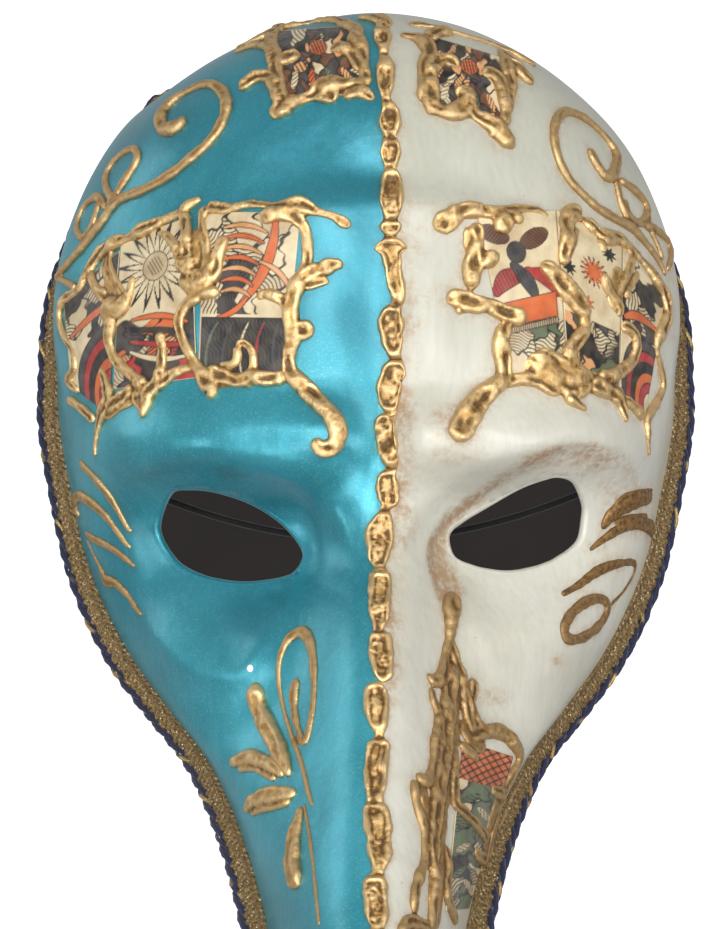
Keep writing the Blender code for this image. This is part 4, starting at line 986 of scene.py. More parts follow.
        [(-35, -60.6, 1.2), (-30, -59.3, 2), (-26, -60.5, 1.8), (-22.8, -62.4, 1.5), (-21.4, -64, 1)],
        [(-33, -62.2, 1), (-29, -61.8, 1.1), (-26, -63.4, 1), (-23.6, -65, 0.8)],
    ],
    "left_nose_leaf_lower": [
        [(-31, -72.8, 1.2), (-28.8, -70.6, 1.9), (-25, -69.4, 2.2), (-21, -69, 2), (-18.2, -68.4, 1.2)],
        [(-29.6, -73.6, 0.9), (-26.5, -72.4, 1.1), (-22.5, -71.6, 1.1), (-19.8, -70.8, 0.9)],
    ],
    "left_nose_leaf_bottom": [
        [(-16.9, -72, 0.8), (-17.3, -75, 1.2), (-18.3, -80, 1.9), (-18.5, -85, 2.3), (-18.2, -90, 2.4),
         (-17.6, -93, 1.8)],
        [(-20.4, -84, 0.8), (-20.6, -88, 0.9), (-19.4, -92, 0.9)],
    ],
    "left_nose_stem": [
        [(-16.2, -71.2, 0.6), (-15, -77.5, 0.65), (-13.9, -86, 0.65), (-13, -95, 0.65),
         (-12.3, -103, 0.6)],
    ],
}  # fmt: skip

AROUND = 14  # points round a bead's section
SECTION_ANGLE = np.linspace(0, 2 * math.pi, AROUND, endpoint=False)


def bead(points, fatter, seed, flat, groovy):
    """The mesh of one bead of gesso along points (across, up, half width) on the eye plane. Here and there
    a groove runs along its top."""
    t = np.linspace(0, len(points) - 1, 12 * len(points))
    route = curve_through(points, t)
    line = np.array([fine.at(a, b)[0] for a, b, _ in route])
    along = lengths_along(line)
    even = np.linspace(0, along[-1], max(6, round(along[-1] / 0.6)))
    line = np.stack([np.interp(even, along, line[:, k]) for k in range(3)], 1)
    half = np.interp(even, along, route[:, 2]) * fatter
    half = half * (1 + 0.16 * wobble(line, 4.5, seed) + 0.14 * wobble(line, 1.7, seed + 4))
    grooved = np.clip(0.5 + 1.6 * wobble(line, 5.0, seed + 8), 0, 1) * (half > 0.9) * groovy
    lean = 0.5 * wobble(line, 6.0, seed + 6)
    ends = np.minimum(even, even[-1] - even) / np.maximum(half, 0.5)
    half = half * np.sqrt(np.clip(1 - (1 - np.clip(ends, 0.06, 1)) ** 2, 0.02, 1))
    ahead = np.gradient(line, axis=0)
    tops = []
    for place, way, wide, groove, off in zip(line, ahead, half, grooved, lean):
        normal = fine.tree.find_nearest(Vector(place))[1]
        sideways = Vector(way).cross(normal).normalized()
        high = min(2.3, wide) * flat
        for angle in SECTION_ANGLE:
            across, up = math.cos(angle), math.sin(angle)
            on, out, _, _ = fine.tree.find_nearest(Vector(place) + sideways * across * wide)
            dip = 0.75 * groove * math.exp(-(((across - off) / 0.42) ** 2))
            tops.append(on + out * (high * (up**0.7 - dip * up) if up > 0 else 0.7 * up))
    count = len(line)
    faces = grid_faces(count, AROUND, closed=True)
    j = np.arange(AROUND)
    last = (count - 1) * AROUND
    points = np.vstack([np.array(tops), line[:1], line[-1:]])
    first, final = len(points) - 2, len(points) - 1
    caps = [(first, (k + 1) % AROUND, k) for k in j]
    caps += [(final, last + k, last + (k + 1) % AROUND) for k in j]
    return points, faces.tolist() + caps


def oval(centre, radii, turn, half):
    """The closed bead of the temple's ring, as a stroke that laps over itself."""
    points = []
    for k in range(19):
        angle = 2 * math.pi * k / 16
        u, v = radii[0] * math.cos(angle), radii[1] * math.sin(angle)
        points.append((centre[0] + u * math.cos(turn) - v * math.sin(turn),
                       centre[1] + u * math.sin(turn) + v * math.cos(turn), half))
    return points


def make_beads(name, strokes, bases, fatter, seed, flat, groovy):
    points, faces, start = [], [], 0
    for k, stroke in enumerate(strokes + bases):
        low = stroke in bases
        p, f = bead(stroke, fatter, seed + 2.3 * k, 0.36 if low else flat, 0.0 if low else groovy)
        points.append(p)
        faces += [tuple(x + start for x in face) for face in f]
        start += len(p)
    mesh = bpy.data.meshes.new(name)
    mesh.from_pydata((np.vstack(points) * MM).tolist(), [], faces)
    face_outwards(mesh)
    return add_object(name, mesh)


def face_outwards(mesh):
    shape = bmesh.new()
    shape.from_mesh(mesh)
    bmesh.ops.recalc_face_normals(shape, faces=shape.faces)
    shape.to_mesh(mesh)
    shape.free()


def link_ends(strokes):
    """The heights on the eye plane where one chain link ends and the next begins."""
    points = strokes[0]
    return [points[k][1] for k in range(1, len(points) - 1)
            if points[k][2] <= points[k - 1][2] and points[k][2] <= points[k + 1][2]]


def chain_cut(places, strokes):
    """How far each point of a chain sinks: the hollow inside each ring, and the notches between rings."""
    route = curve_through(strokes[0], np.linspace(0, len(strokes[0]) - 1, 400))
    a, b = on_eye_plane(places)
    order = np.argsort(route[:, 1])
    middle = np.interp(b, route[order, 1], route[order, 0])
    half = np.interp(b, route[order, 1], route[order, 2])
    ends = np.array(link_ends(strokes))
    gap = np.abs(b[:, None] - ends[None, :]).min(1)
    notch = np.exp(-((gap / 0.6) ** 2))
    inside = half - 0.95 - np.abs(a - middle + 0.35 * np.sin(b * 0.6))
    hollow = rise(inside, 0.2) * rise(gap - 1.4, 0.4) * rise(half - 2.3, 0.2)
    return hollow, notch


# Thin layers of gesso between the beads
BASES = {
    "right_cheek_frame": [
        [(22.5, -34, 1.6), (21.8, -42, 3), (21.5, -50, 3.6), (21, -58, 3.6), (19.8, -66, 3.2),
         (18.8, -76, 2.6), (18.4, -86, 2.8), (18, -95, 3), (17.5, -104, 3)],
        [(24, -50, 2), (28, -55, 2.4), (31, -56, 1.6)],
        [(14, -66, 1.6), (15.5, -72, 1.6), (16, -80, 1.4)],
        [(11, -103.5, 2), (15, -105, 2.4)],
        [(36, -66, 1.6), (33.5, -72, 2), (31, -80, 2), (30, -88, 1.8), (28.5, -96, 1.8)],
    ],
    "right_brow_frame": [
        [(41, 43.5, 1.6), (46, 42, 3), (52, 40, 3.2), (58, 38.5, 2.4), (63, 36.5, 2), (67, 34, 2.2)],
        [(66, 68, 2.4), (64.5, 62, 2.4), (65.5, 56, 1.8)],
        [(27, 79, 2.2), (28.5, 72, 2), (29.5, 68, 2.4)],
    ],
    "left_brow_frame": [
        [(-67, 66, 2.4), (-65, 60, 2.6), (-66, 54, 1.8)],
        [(-44.5, 78, 1.6), (-44, 70, 2.4), (-44.5, 64, 3)],
        [(-42, 40, 1.6), (-36, 39, 1.8), (-28, 39, 1.6)],
        [(-58, 36, 2.2), (-64, 33, 2), (-68, 30, 2)],
    ],
}  # fmt: skip
# How much wider the modelled beads are than their laid-out lines, by part of a piece's name
FATTER = (
    ("brow_frame", 1.36), ("crown_frame", 1.45), ("cheek", 1.25), ("chain", 0.98), ("nose_leaf", 1.12),
)  # fmt: skip
# How far each piece is brushed bronze instead of leaf
BRUSHED = {node: share for share, nodes in (
    (0.9, ("right_temple_leaf_upper", "right_temple_leaf_lower", "right_temple_stroke")),
    (0.75, ("right_temple_ring",)),
    (0.45, ("right_cheek_frame", "left_nose_stem", "left_temple_stroke_thin", "left_temple_stroke_lower")),
    (0.32, ("left_crown_scroll", "right_crown_scroll")),
    (0.22, ("left_crown_frame", "right_crown_frame")),
    (0.3, ("left_nose_spiral", "left_temple_stroke_upper", "left_temple_stroke_broad",
           "left_nose_leaf_bottom")),
) for node in nodes}


def make_relief(node, strokes, look, seed):
    """A piece of gesso: its beads in one skin, with lumps, folds and a chain's hollows."""
    brushed = "temple" in node or node.endswith(("stem", "spiral"))
    fatter = next((share for part, share in FATTER if part in node), 1.05)
    even = "nose_leaf" in node or "scroll" in node or brushed
    flat, groovy, smooth = 0.6 if brushed else 1.0, 0.45 if even else 1.0, 0.35 if even else 1.0
    made = make_beads(node + "_leafed", strokes, BASES.get(node, []), fatter, seed, flat, groovy)
    mesh = remesh(made)
    places = places_of(mesh)
    on_shell = [fine.tree.find_nearest(Vector(p)) for p in places]
    outward = np.array([f[1] for f in on_shell])
    height = np.einsum("ij,ij->i", places - np.array([f[0] for f in on_shell]), outward)
    area = np.clip(0.45 + 1.7 * wobble(places, 6.0, seed), 0, 1) * smooth
    lump = 0.28 * wobble(places, 3.8, seed + 3) + 0.14 * wobble(places, 1.5, seed + 5) * (0.2 + area)
    lump = lump + 0.11 * wobble(places, 0.7, seed + 9) * area
    folds = 1 - np.abs(2 * wobble(places, 2.4, seed + 13))
    lump = lump + 0.22 * np.clip(folds - 0.55, 0, 1) * area
    raised = np.clip(height / 1.2, 0, 1) * (0.4 + 0.6 * smooth)
    own = normals_from(mesh)
    hollow = np.zeros(len(places))
    if node.endswith("chain"):
        hollow, notch = chain_cut(places, strokes)
        lump = lump * (1 + 1.2 * hollow)
        sink = np.minimum(0.8 * hollow + 0.5 * notch, np.maximum(height - 0.5, 0))
        places = places - outward * sink[:, None]
        area = np.maximum(area, hollow)
    places = places + own * (lump * raised)[:, None]
    move_to(mesh, places)
    mesh.materials.clear()
    mesh.materials.append(look)
    # Painted shade: the foot of each bead, where it meets the shell, counts as a hollow and is darkened.
    foot_shade = np.exp(-np.maximum(height, 0) / 0.45)
    paint(mesh, "cavity", np.clip(cavity_of(mesh) - 0.1 * hollow + 0.8 * foot_shade, -1, 1))
    paint(mesh, "rough", area)
    paint(mesh, "brushed", np.full(len(places), BRUSHED.get(node, 0.0)))
    return stands_for(made, node)


RELIEF["right_temple_ring"] = [oval((57, -23.2), (6.9, 3.6), 0.74, 1.45)]
leaf = gold_leaf()
reliefs = [make_relief(node, strokes, leaf, 11.0 * k) for k, (node, strokes) in enumerate(RELIEF.items())]


# ---------------------------------------------------------------- shell


def eye_outline(points, centre, count, scale):
    """An eye hole's outline on the eye plane, scaled about its centre."""
    loop = curve_through(points, np.linspace(0, len(points), count, endpoint=False), closed=True)
    return np.array(centre) + (loop - np.array(centre)) * scale


def eye_prism(name, loop):
    """A cutter along the view through an eye hole."""
    rays = np.column_stack([loop[:, 0], np.zeros(len(loop)), loop[:, 1]]) - np.array(VIEWER)
    places = np.vstack([np.array(VIEWER) + rays * 0.9, np.array(VIEWER) + rays * 1.08])
    count = len(loop)
    shape = bmesh.new()
    verts = [shape.verts.new(place * MM) for place in places]
    for k in range(count):
        m = (k + 1) % count
        shape.faces.new((verts[k], verts[m], verts[count + m], verts[count + k]))
    shape.faces.new(verts[:count][::-1])
    shape.faces.new(verts[count:])
    bmesh.ops.recalc_face_normals(shape, faces=shape.faces)
    mesh = bpy.data.meshes.new(name)
    shape.to_mesh(mesh)
    shape.free()
    return add_object(name, mesh)


def thick_grid(points, normals, rows, columns, thickness):
    """A closed sheet: the outer grid, the inner one and the strip that joins their edges."""
    inner = points - normals * thickness
    count = rows * columns
    outer_faces = grid_faces(rows, columns, flip=True)
    inner_faces = grid_faces(rows, columns) + count
    edge = (list(range(columns)) + [i * columns + columns - 1 for i in range(1, rows)]
            + [(rows - 1) * columns + j for j in range(columns - 2, -1, -1)]
            + [i * columns for i in range(rows - 2, 0, -1)])
    edge = np.array(edge)
    ahead = np.roll(edge, -1)
    strip = np.stack([edge, ahead, ahead + count, edge + count], -1)
    return np.vstack([points, inner]), np.vstack([outer_faces, inner_faces, strip])


def cut_eyes(made, scale):
    cutters = []
    for side, centre, points in HOLES:
        cutter = eye_prism(f"{made.name}_{side}_cutter", eye_outline(points, centre, 120, scale))
        cut = made.modifiers.new(side, "BOOLEAN")
        cut.operation = "DIFFERENCE"
        cut.solver = "MANIFOLD"
        cut.object = cutter
        cutters.append(cutter)
    settle(made)
    for cutter in cutters:
        bpy.data.objects.remove(cutter)


def join_into(made, others):
    with bpy.context.temp_override(active_object=made, selected_editable_objects=[made, *others]):
        bpy.ops.object.join()


def chain_middle(up):
    """Where the chain's middle is on the eye plane, at each height there."""
    route = np.vstack([RELIEF[part + "_chain"][0] for part in ("beak", "nose", "brow", "crown")])
    route = route[np.argsort(route[:, 1])]
    return np.interp(up, route[:, 1], route[:, 0])


def gold_distance(places):
    """The distance of each place from the nearest gesso, or GOLD_REACH if it is farther."""
    points, faces, start = [], [], 0
    for made in reliefs:
        mesh = made.data
        co = places_of(mesh)
        points.append(co)
        mesh.calc_loop_triangles()
        tri = np.empty(len(mesh.loop_triangles) * 3, int)
        mesh.loop_triangles.foreach_get("vertices", tri)
        faces.append(tri.reshape(-1, 3) + start)
        start += len(co)
    tree = BVHTree.FromPolygons([Vector(p) for p in np.vstack(points)], np.vstack(faces).tolist())
    found = [tree.find_nearest(Vector(p), GOLD_REACH) for p in places]
    return np.array([GOLD_REACH if f[0] is None else f[3] for f in found])


def spot(a, b, middle, size, turn):
    """A soft spot on the eye plane, 1 at its middle."""
    x, y = a - middle[0], b - middle[1]
    u = x * math.cos(turn) + y * math.sin(turn)
    v = -x * math.sin(turn) + y * math.cos(turn)
    return np.exp(-((u / size[0]) ** 2) - (v / size[1]) ** 2)


def near_line(a, b, points, width):
    """1 on a line of the eye plane, and less away from it."""
    route = curve_through(points, np.linspace(0, len(points) - 1, 8 * len(points)))
    away = np.min([np.hypot(a - p, b - q) for p, q in route], 0)
    return bump(away, width)


# Stains on the eye plane: how strong and how wide each is, and the line it follows. The last line is
# painted shade along the right lid's fold, not a stain.
STAIN_AND_CREASE_SHADE_LINES = (
    (0.55, 3.0, ((22, 3), (28, 8), (36, 13.5), (44, 17.5), (52, 19.5), (60, 19), (68, 16))),
    (0.35, 5.0, ((50, 16.5), (58, 15), (64, 10), (66, 3))),
    (0.95, 2.5, ((19.5, -2), (18.5, -7), (20.5, -12), (22.5, -17))),
    (0.5, 3.0, ((20, -10), (23, -12), (25, -15))),
    (0.5, 4.0, ((9.5, 36), (10, 22), (10, 10), (11, 0))),
    (0.4, 3.0, ((19, 30), (18, 24), (21, 18), (27, 19))),
    # Painted shade along the right lid's fold
    (0.55, 1.1, FOLDS[1]),
)
# Round stains: how strong each is, its middle, its size and its turn
STAIN_SPOTS = (
    (0.7, (50, -34), (2.8, 2.0), 0.0),
    (0.5, (33, -44), (6, 5), 0.0),
    (0.45, (7, -26), (4, 24), 0.0),
    (0.35, (13, 62), (5, 22), 0.0),
    (0.8, (-35.5, 14.5), (6, 2.6), -0.15),
    (0.3, (-60, 4.5), (5, 20), 0.2),
)
# Round patches of painted shade, in the same columns: on the forehead, round the left eye and below it, and
# at the left temple
PAINTED_SHADE_SPOTS = (
    (0.35, (-14, 62), (14, 14), 0.0),
    (0.8, (-36, -5.5), (34, 17), 0.0),
    (0.7, (-31, -24.5), (14, 9), 0.5),
    (0.5, (-64, -11.5), (10, 22), 0.0),
    (0.75, (2, 60), (24, 36), 0.0),
)


def spots(a, b, table):
    return sum(strength * spot(a, b, middle, size, turn) for strength, middle, size, turn in table)


def eye_rim(name, loop, look):
    """The rounded edge of an eye hole."""
    line = []
    for a, b in loop:
        place, normal = fine.at(a, b)
        line.append(place - normal * WALL * 0.5)
    line = np.array(line)
    for _ in range(3):
        line = (np.roll(line, 1, 0) + line * 2 + np.roll(line, -1, 0)) / 4
    return add_mesh(name, *tube(line, WALL * 0.53, 12, closed=True), look)


def height_over_shell(places):
    """How far each place is outside the shell's outer surface, below 0 inside it."""
    found = [fine.tree.find_nearest(Vector(place)) for place in places]
    return np.array([(Vector(place) - on).dot(normal) for place, (on, normal, _, _) in zip(places, found)])


def make_shell():
    points, faces = thick_grid(fine.points, fine.normals, FINE_ROWS + 1, FINE_COLUMNS + 1, WALL)
    look = shell_paint()
    made = add_mesh("mask_shell_painted", points, faces, look)
    cut_eyes(made, EYE_WIDER)
    join_into(made, [eye_rim(side + "_rim", eye_outline(points, centre, 150, EYE_WIDER), look)
                     for side, centre, points in HOLES])
    mesh = made.data
    mesh.shade_smooth()
    mesh.set_sharp_from_angle(angle=math.radians(50))
    places = places_of(mesh)
    a, b = on_eye_plane(places)
    stain_and_crease_shade = 0.55 * np.exp(-gold_distance(places) / (1.6 + 1.2 * rise(b + 20, 8)))
    # The lines add stains and, along the right lid's fold, painted shade.
    stain_and_crease_shade += sum(strength * near_line(a, b, line, width) for strength, width, line in STAIN_AND_CREASE_SHADE_LINES)
    stain_and_crease_shade += spots(a, b, STAIN_SPOTS)
    stain_and_crease_shade += 0.25 * np.exp(-np.maximum(0, 80 - np.abs(a)) / 2.0) * (b > -20)
    # Painted shade: darker towards the top of the dome and above the brow, and in the round patches of
    # painted shade listed above
    painted_shade = 0.55 * rise(b - 88, 14) + 0.25 * rise(b - 50, 8) + spots(a, b, PAINTED_SHADE_SPOTS)
    paint(mesh, "ivory", rise(a - chain_middle(b), 0.25))
    paint(mesh, "stain_and_crease_shade", np.clip(stain_and_crease_shade, 0, 1.2))
    paint(mesh, "painted_shade", np.clip(painted_shade, 0, 1))
    paint(mesh, "inside", rise(-height_over_shell(places) - WALL * 0.75, 0.2))
    stands_for(made, "mask_shell")


make_shell()


def make_lining():
    keep_rows = np.where((fine.t > LINING_SECTIONS[0]) & (fine.t < LINING_SECTIONS[1]))[0]
    keep_columns = np.where(np.abs(fine.u) < LINING_U)[0]
    index = (keep_rows[:, None] * (FINE_COLUMNS + 1) + keep_columns[None, :]).reshape(-1)
    top, normals = fine.points[index], fine.normals[index]
    top = top - normals * (WALL + LINING_GAP - LINING_LIFT)
    top = top + normals * (0.15 * wobble(top, 6.0, 40.0) + 0.06 * wobble(top, 1.6, 43.0))[:, None]
    points, faces = thick_grid(top, normals, len(keep_rows), len(keep_columns), LINING_THICK)
    made = add_mesh("felt_lining_pile", points, faces, felt())
    cut_eyes(made, LINING_EYE_WIDER)
    made.data.shade_smooth()
    stands_for(made, "felt_lining")


make_lining()


def make_tabs():
    look = felt()
    for seed, node in ((51.0, "strap_tab_left"), (57.0, "strap_tab_right")):
        made = cad_copy(node)
        remesh(made, 0.3)
        places = places_of(made.data)
        way = normals_from(made.data)
        rough = 0.10 * wobble(places, 1.2, seed) + 0.05 * wobble(places, 0.5, seed + 2)
        move_to(made.data, places + way * rough[:, None])
        made.data.materials.clear()
        made.data.materials.append(look)
        stands_for(made, node)


make_tabs()


# ---------------------------------------------------------------- printed cards

CREAM, PAPER = (214, 198, 162), (196, 178, 142)
ORANGE, RED, SAGE, GREY = (206, 100, 44), (168, 34, 38), (92, 106, 80), (60, 58, 62)
INK, BROWN, SKIN = (12, 9, 8), (104, 60, 34), (214, 156, 104)


def covered(distance, soft=0.3):
    """1 well inside a shape and 0 outside it, where distance is below 0 inside."""
    return np.clip(0.5 - distance / soft, 0, 1)


class Print:
    """A woodcut drawn in millimetres on one card, from its lower left corner."""

    def __init__(self, x, y):
        self.x, self.y = x, y
        self.color = np.tile(np.array(srgb(*CREAM)), (len(x), 1))

    def ink(self, cover, color):
        self.color += (np.array(srgb(*color)) - self.color) * np.clip(cover, 0, 1)[:, None]

    def shape(self, distance, color, edge=0.28):
        """Fills where distance is below 0, with an ink line round it."""
        self.ink(covered(distance, 0.2), color)
        if edge:
            self.ink(covered(np.abs(distance) - edge / 2, 0.18), INK)

    def lines(self, angle, pitch, share, within, color=INK, wave=0.0):
        """Hatching at an angle, where within is below 0."""
        s = self.x * math.cos(angle) + self.y * math.sin(angle)
        t = -self.x * math.sin(angle) + self.y * math.cos(angle)
        s = s + wave * np.sin(t * 1.1)
        saw = np.abs((s / pitch) % 1 - 0.5) * 2
        self.ink(covered((saw - share) * pitch, 0.35) * covered(within, 0.2), color)

    def disc(self, cx, cy, r, squeeze=1.0, turn=0.0):
        u = (self.x - cx) * math.cos(turn) + (self.y - cy) * math.sin(turn)
        v = -(self.x - cx) * math.sin(turn) + (self.y - cy) * math.cos(turn)
        return np.hypot(u, v / squeeze) - r

    def star(self, cx, cy, outer, inner, points, turn=0.0):
        angle = np.arctan2(self.y - cy, self.x - cx) + turn
        saw = np.abs((angle * points / (2 * math.pi)) % 1 - 0.5) * 2
        return np.hypot(self.x - cx, self.y - cy) - (inner + (outer - inner) * saw)

    def band(self, x0, y0, x1, y1, width, bend):
        """The distance from a bent strip between two points."""
        dx, dy = x1 - x0, y1 - y0
        length = math.hypot(dx, dy)
        s = ((self.x - x0) * dx + (self.y - y0) * dy) / length
        d = ((self.y - y0) * dx - (self.x - x0) * dy) / length
        share = np.clip(s / length, 0, 1)
        d = d - bend * 4 * share * (1 - share)
        return np.hypot(d, s - share * length) - width / 2 * (0.55 + 0.45 * np.sin(math.pi * share))

    def leaf(self, cx, cy, length, turn, color):
        form = self.disc(cx, cy, length / 2, 0.34, turn)
        self.shape(form, color)
        self.lines(turn + 0.9, 0.9, 0.3, form + 0.3)

    def patchwork(self, seed, colors, cell, low, high):
        """Bent fields of flat colour, some of them hatched, with ink between them."""
        rng = np.random.default_rng(seed)
        spread = np.array(high) - np.array(low)
        count = max(4, round(spread[0] * spread[1] / cell**2))
        sites = np.array(low) + rng.uniform(0, 1, (count, 2)) * spread
        wx = self.x + 0.9 * np.sin(self.y * 0.8 + seed) + 0.4 * np.sin(self.y * 2.1)
        wy = self.y + 0.9 * np.sin(self.x * 0.7 + seed * 2) + 0.4 * np.sin(self.x * 1.9)
        away = np.hypot(wx[:, None] - sites[:, 0], (wy[:, None] - sites[:, 1]) * 0.8)
        order = np.sort(away, 1)
        nearest = away.argmin(1)
        inside = (self.x > low[0]) & (self.x < high[0]) & (self.y > low[1]) & (self.y < high[1])
        inside = inside.astype(float)
        for k in range(count):
            here = (nearest == k) * inside
            self.ink(here, colors[rng.integers(len(colors))])
            angle, style = rng.uniform(0, math.pi), rng.uniform()
            if style < 0.5:
                self.lines(angle, rng.uniform(0.8, 1.3), 0.35, 0.2 - here * 0.4, wave=0.3)
        gap = order[:, 1] - order[:, 0]
        self.ink(covered(gap - 0.45) * inside, INK)


def ribs(p, w, h):
    """A fern of orange ribs over a dark panel."""
    p.patchwork(3, (CREAM, PAPER, CREAM, GREY), 7, (0, h * 0.38), (w, h))
    p.shape(p.band(w * 0.75, h * 0.95, w * 0.45, h * 0.45, 3.2, 2.5), ORANGE)
    for k in range(7):
        y = h * (0.88 - 0.065 * k)
        p.shape(p.band(w * 0.66 - k * 0.6, y, w * 0.22, y + 1.2, 1.5, -1.4), ORANGE if k % 2 else SKIN)
    p.shape(p.band(w * 0.62, h * 0.7, w * 0.97, h * 0.52, 1.6, 1.5), SKIN)
    p.shape(p.band(w * 0.5, h * 0.48, w * 0.2, h * 0.36, 1.8, 1.0), ORANGE)
    low = np.maximum(np.abs(p.x - w / 2) - w * 0.48, np.abs(p.y - h * 0.18) - h * 0.18)
    p.shape(low, INK)
    for k in range(5):
        p.shape(p.band(w * (0.1 + 0.2 * k), h * 0.02, w * (0.2 + 0.17 * k), h * 0.33, 0.8, 1.6),
                (SAGE, GREY, CREAM, RED, GREY)[k], 0.0)
    p.lines(0.4, 1.2, 0.2, low + 0.5, GREY, 0.5)


def sunburst(p, w, h):
    p.patchwork(8, (ORANGE, RED, INK, CREAM, ORANGE, SKIN, GREY), 5.5, (0, 0), (w, h * 0.55))
    top = np.maximum(h * 0.42 - p.y + 1.5 * np.sin(p.x * 0.6), -p.y)
    p.ink(covered(top), CREAM)
    rays = p.star(w * 0.5, h * 0.76, 13, 4.6, 17)
    p.shape(np.maximum(rays, top), INK, 0.2)
    p.shape(np.maximum(p.star(w * 0.5, h * 0.76, 10.0, 3.6, 17), top), CREAM, 0.25)
    p.shape(p.disc(w * 0.5, h * 0.76, 4.0), PAPER)
    p.lines(0.5, 0.9, 0.3, p.disc(w * 0.5, h * 0.76, 2.6))
    for k in range(4):
        p.shape(p.band(w * 0.2, h * (0.44 - 0.07 * k), w * 0.9, h * (0.36 - 0.07 * k), 1.7, 1.5 - k),
                (ORANGE, INK, RED, CREAM)[k])


def stars(p, w, h):
    p.patchwork(12, (INK, SAGE, RED, CREAM, SKIN, GREY, INK), 5, (0, 0), (w, h * 0.42))
    top = h * 0.4 - p.y
    p.ink(covered(top), CREAM)
    p.shape(p.star(w * 0.55, h * 0.72, 4.6, 2.0, 16), INK, 0.0)
    p.shape(p.star(w * 0.55, h * 0.72, 3.9, 1.8, 16), ORANGE, 0.2)
    for cx, cy, r, color in ((0.18, 0.9, 2.4, ORANGE), (0.14, 0.68, 2.3, INK), (0.86, 0.62, 2.2, ORANGE),
                             (0.42, 0.5, 2.6, ORANGE), (0.8, 0.88, 2.2, INK), (0.12, 0.47, 2.0, ORANGE)):
        p.shape(p.star(w * cx, h * cy, r, r * 0.42, 8, 0.3), color, 0.2)


def workshop(p, w, h):
    """Hatched leaves above red folds and a slanting table edge."""
    p.patchwork(21, (CREAM, INK, CREAM, SAGE, GREY), 6, (0, 0), (w, h * 0.34))
    for side in (-1, 1):
        form = p.disc(w * (0.42 + 0.26 * side), h * (0.86 - 0.02 * side), 4.2, 0.62, 0.5 * side)
        p.shape(form, BROWN)
        p.lines(0.8 * side, 0.8, 0.35, form + 0.4)
    p.shape(p.disc(w * 0.42, h * 0.76, 2.6, 1.2), GREY)
    p.lines(1.2, 0.7, 0.4, p.disc(w * 0.42, h * 0.76, 2.3, 1.2))
    p.shape(p.band(w * 0.05, h * 0.52, w * 0.5, h * 0.62, 5.5, 1.5), RED)
    p.shape(p.band(w * 0.55, h * 0.64, w * 0.95, h * 0.5, 4.5, 1.5), RED)
    p.shape(p.band(w * 0.36, h * 0.68, w * 0.62, h * 0.48, 4.0, 0.5), GREY)
    p.lines(0.3, 1.0, 0.3, p.band(w * 0.05, h * 0.52, w * 0.5, h * 0.62, 5.2, 1.5))
    slant, aside = 0.18 * (p.x - w / 2), np.abs(p.x - w * 0.5) - w * 0.42
    table = np.maximum(np.abs(p.y - h * 0.40 - slant) - h * 0.075, aside)
    p.shape(table, ORANGE)
    edge = np.maximum(np.abs(p.y - h * 0.30 - slant) - h * 0.018, aside)
    p.shape(edge, PAPER)
    p.lines(0.0, 0.7, 0.45, edge)


def folds(p, w, h):
    """Arcs of drapery."""
    p.patchwork(31, (GREY, INK, CREAM, PAPER), 4.5, (0, h * 0.5), (w, h))
    for k, color in enumerate((GREY, RED, INK, ORANGE, RED, CREAM)):
        p.shape(p.disc(w * 1.1, h * 0.1, 15.5 - 2.4 * k, 1.15, 0.3), color, 0.35)
    p.shape(p.band(w * 0.1, h * 0.55, w * 0.9, h * 0.7, 2.4, 1.2), ORANGE)


def crown_print(p, w, h):
    p.patchwork(round(w * 3), (GREY, CREAM, INK, SKIN, GREY, BROWN, BROWN), 3.0, (0, 0), (w, h))
    p.shape(p.disc(w * 0.5, h * 0.72, 2.6, 0.8), ORANGE)
    p.lines(0.3, 0.9, 0.5, p.disc(w * 0.5, h * 0.72, 2.3, 0.8))
    for k in range(4):
        p.leaf(w * (0.16 + 0.22 * k), h * 0.28, 5.5, 1.2 + 0.3 * k, (CREAM, ORANGE, SAGE, SKIN)[k])


def garden(p, w, h):
    """Leaves under an orange net."""
    p.patchwork(41, (SAGE, CREAM, SAGE, PAPER, INK, CREAM), 5, (0, 0), (w, h))
    top = h * 0.78 - p.y
    p.ink(covered(top) * 0.9, ORANGE)
    p.lines(0.7, 1.6, 0.25, top)
    p.lines(-0.8, 1.6, 0.25, top)
    for k in range(9):
        odd, color = k % 2, (SAGE, PAPER, SAGE)[k % 3]
        p.leaf(w * (0.3 + 0.4 * odd), h * (0.08 + 0.075 * k), 5.5, 0.6 + 1.9 * odd, color)


# Corners on the eye plane: lower left, lower right, upper right, upper left
CARDS = {
    "left_brow_card_inner": (((-43.6, 40), (-21, 39.5), (-17, 82.5), (-42, 82.5)), ribs),
    "left_brow_card_middle": (((-65.6, 36.5), (-43.9, 39.5), (-45.4, 81.5), (-63.6, 75)), sunburst),
    "left_brow_card_outer": (((-76.5, 37.5), (-67, 30), (-63.9, 72.5), (-78.5, 60)), folds),
    "right_brow_card_inner": (((37, 40.5), (52.2, 40.5), (49.1, 83), (29, 81.5)), workshop),
    "right_brow_card_middle": (((52.5, 40.5), (65.4, 35.5), (66.4, 74.5), (49.4, 83)), stars),
    "right_brow_card_outer": (((65.7, 35), (72.3, 29.5), (77.5, 60), (66.7, 74)), folds),
    "left_crown_card": (((-21, 111.5), (-1, 113.5), (-2.5, 131), (-23.5, 129.5)), crown_print),
    "right_crown_card": (((17.5, 109.5), (35.5, 105), (36, 122.5), (17.5, 128)), crown_print),
    "right_cheek_card": (((20.5, -99), (26.5, -98.5), (38, -59), (25, -55)), garden),
}  # fmt: skip


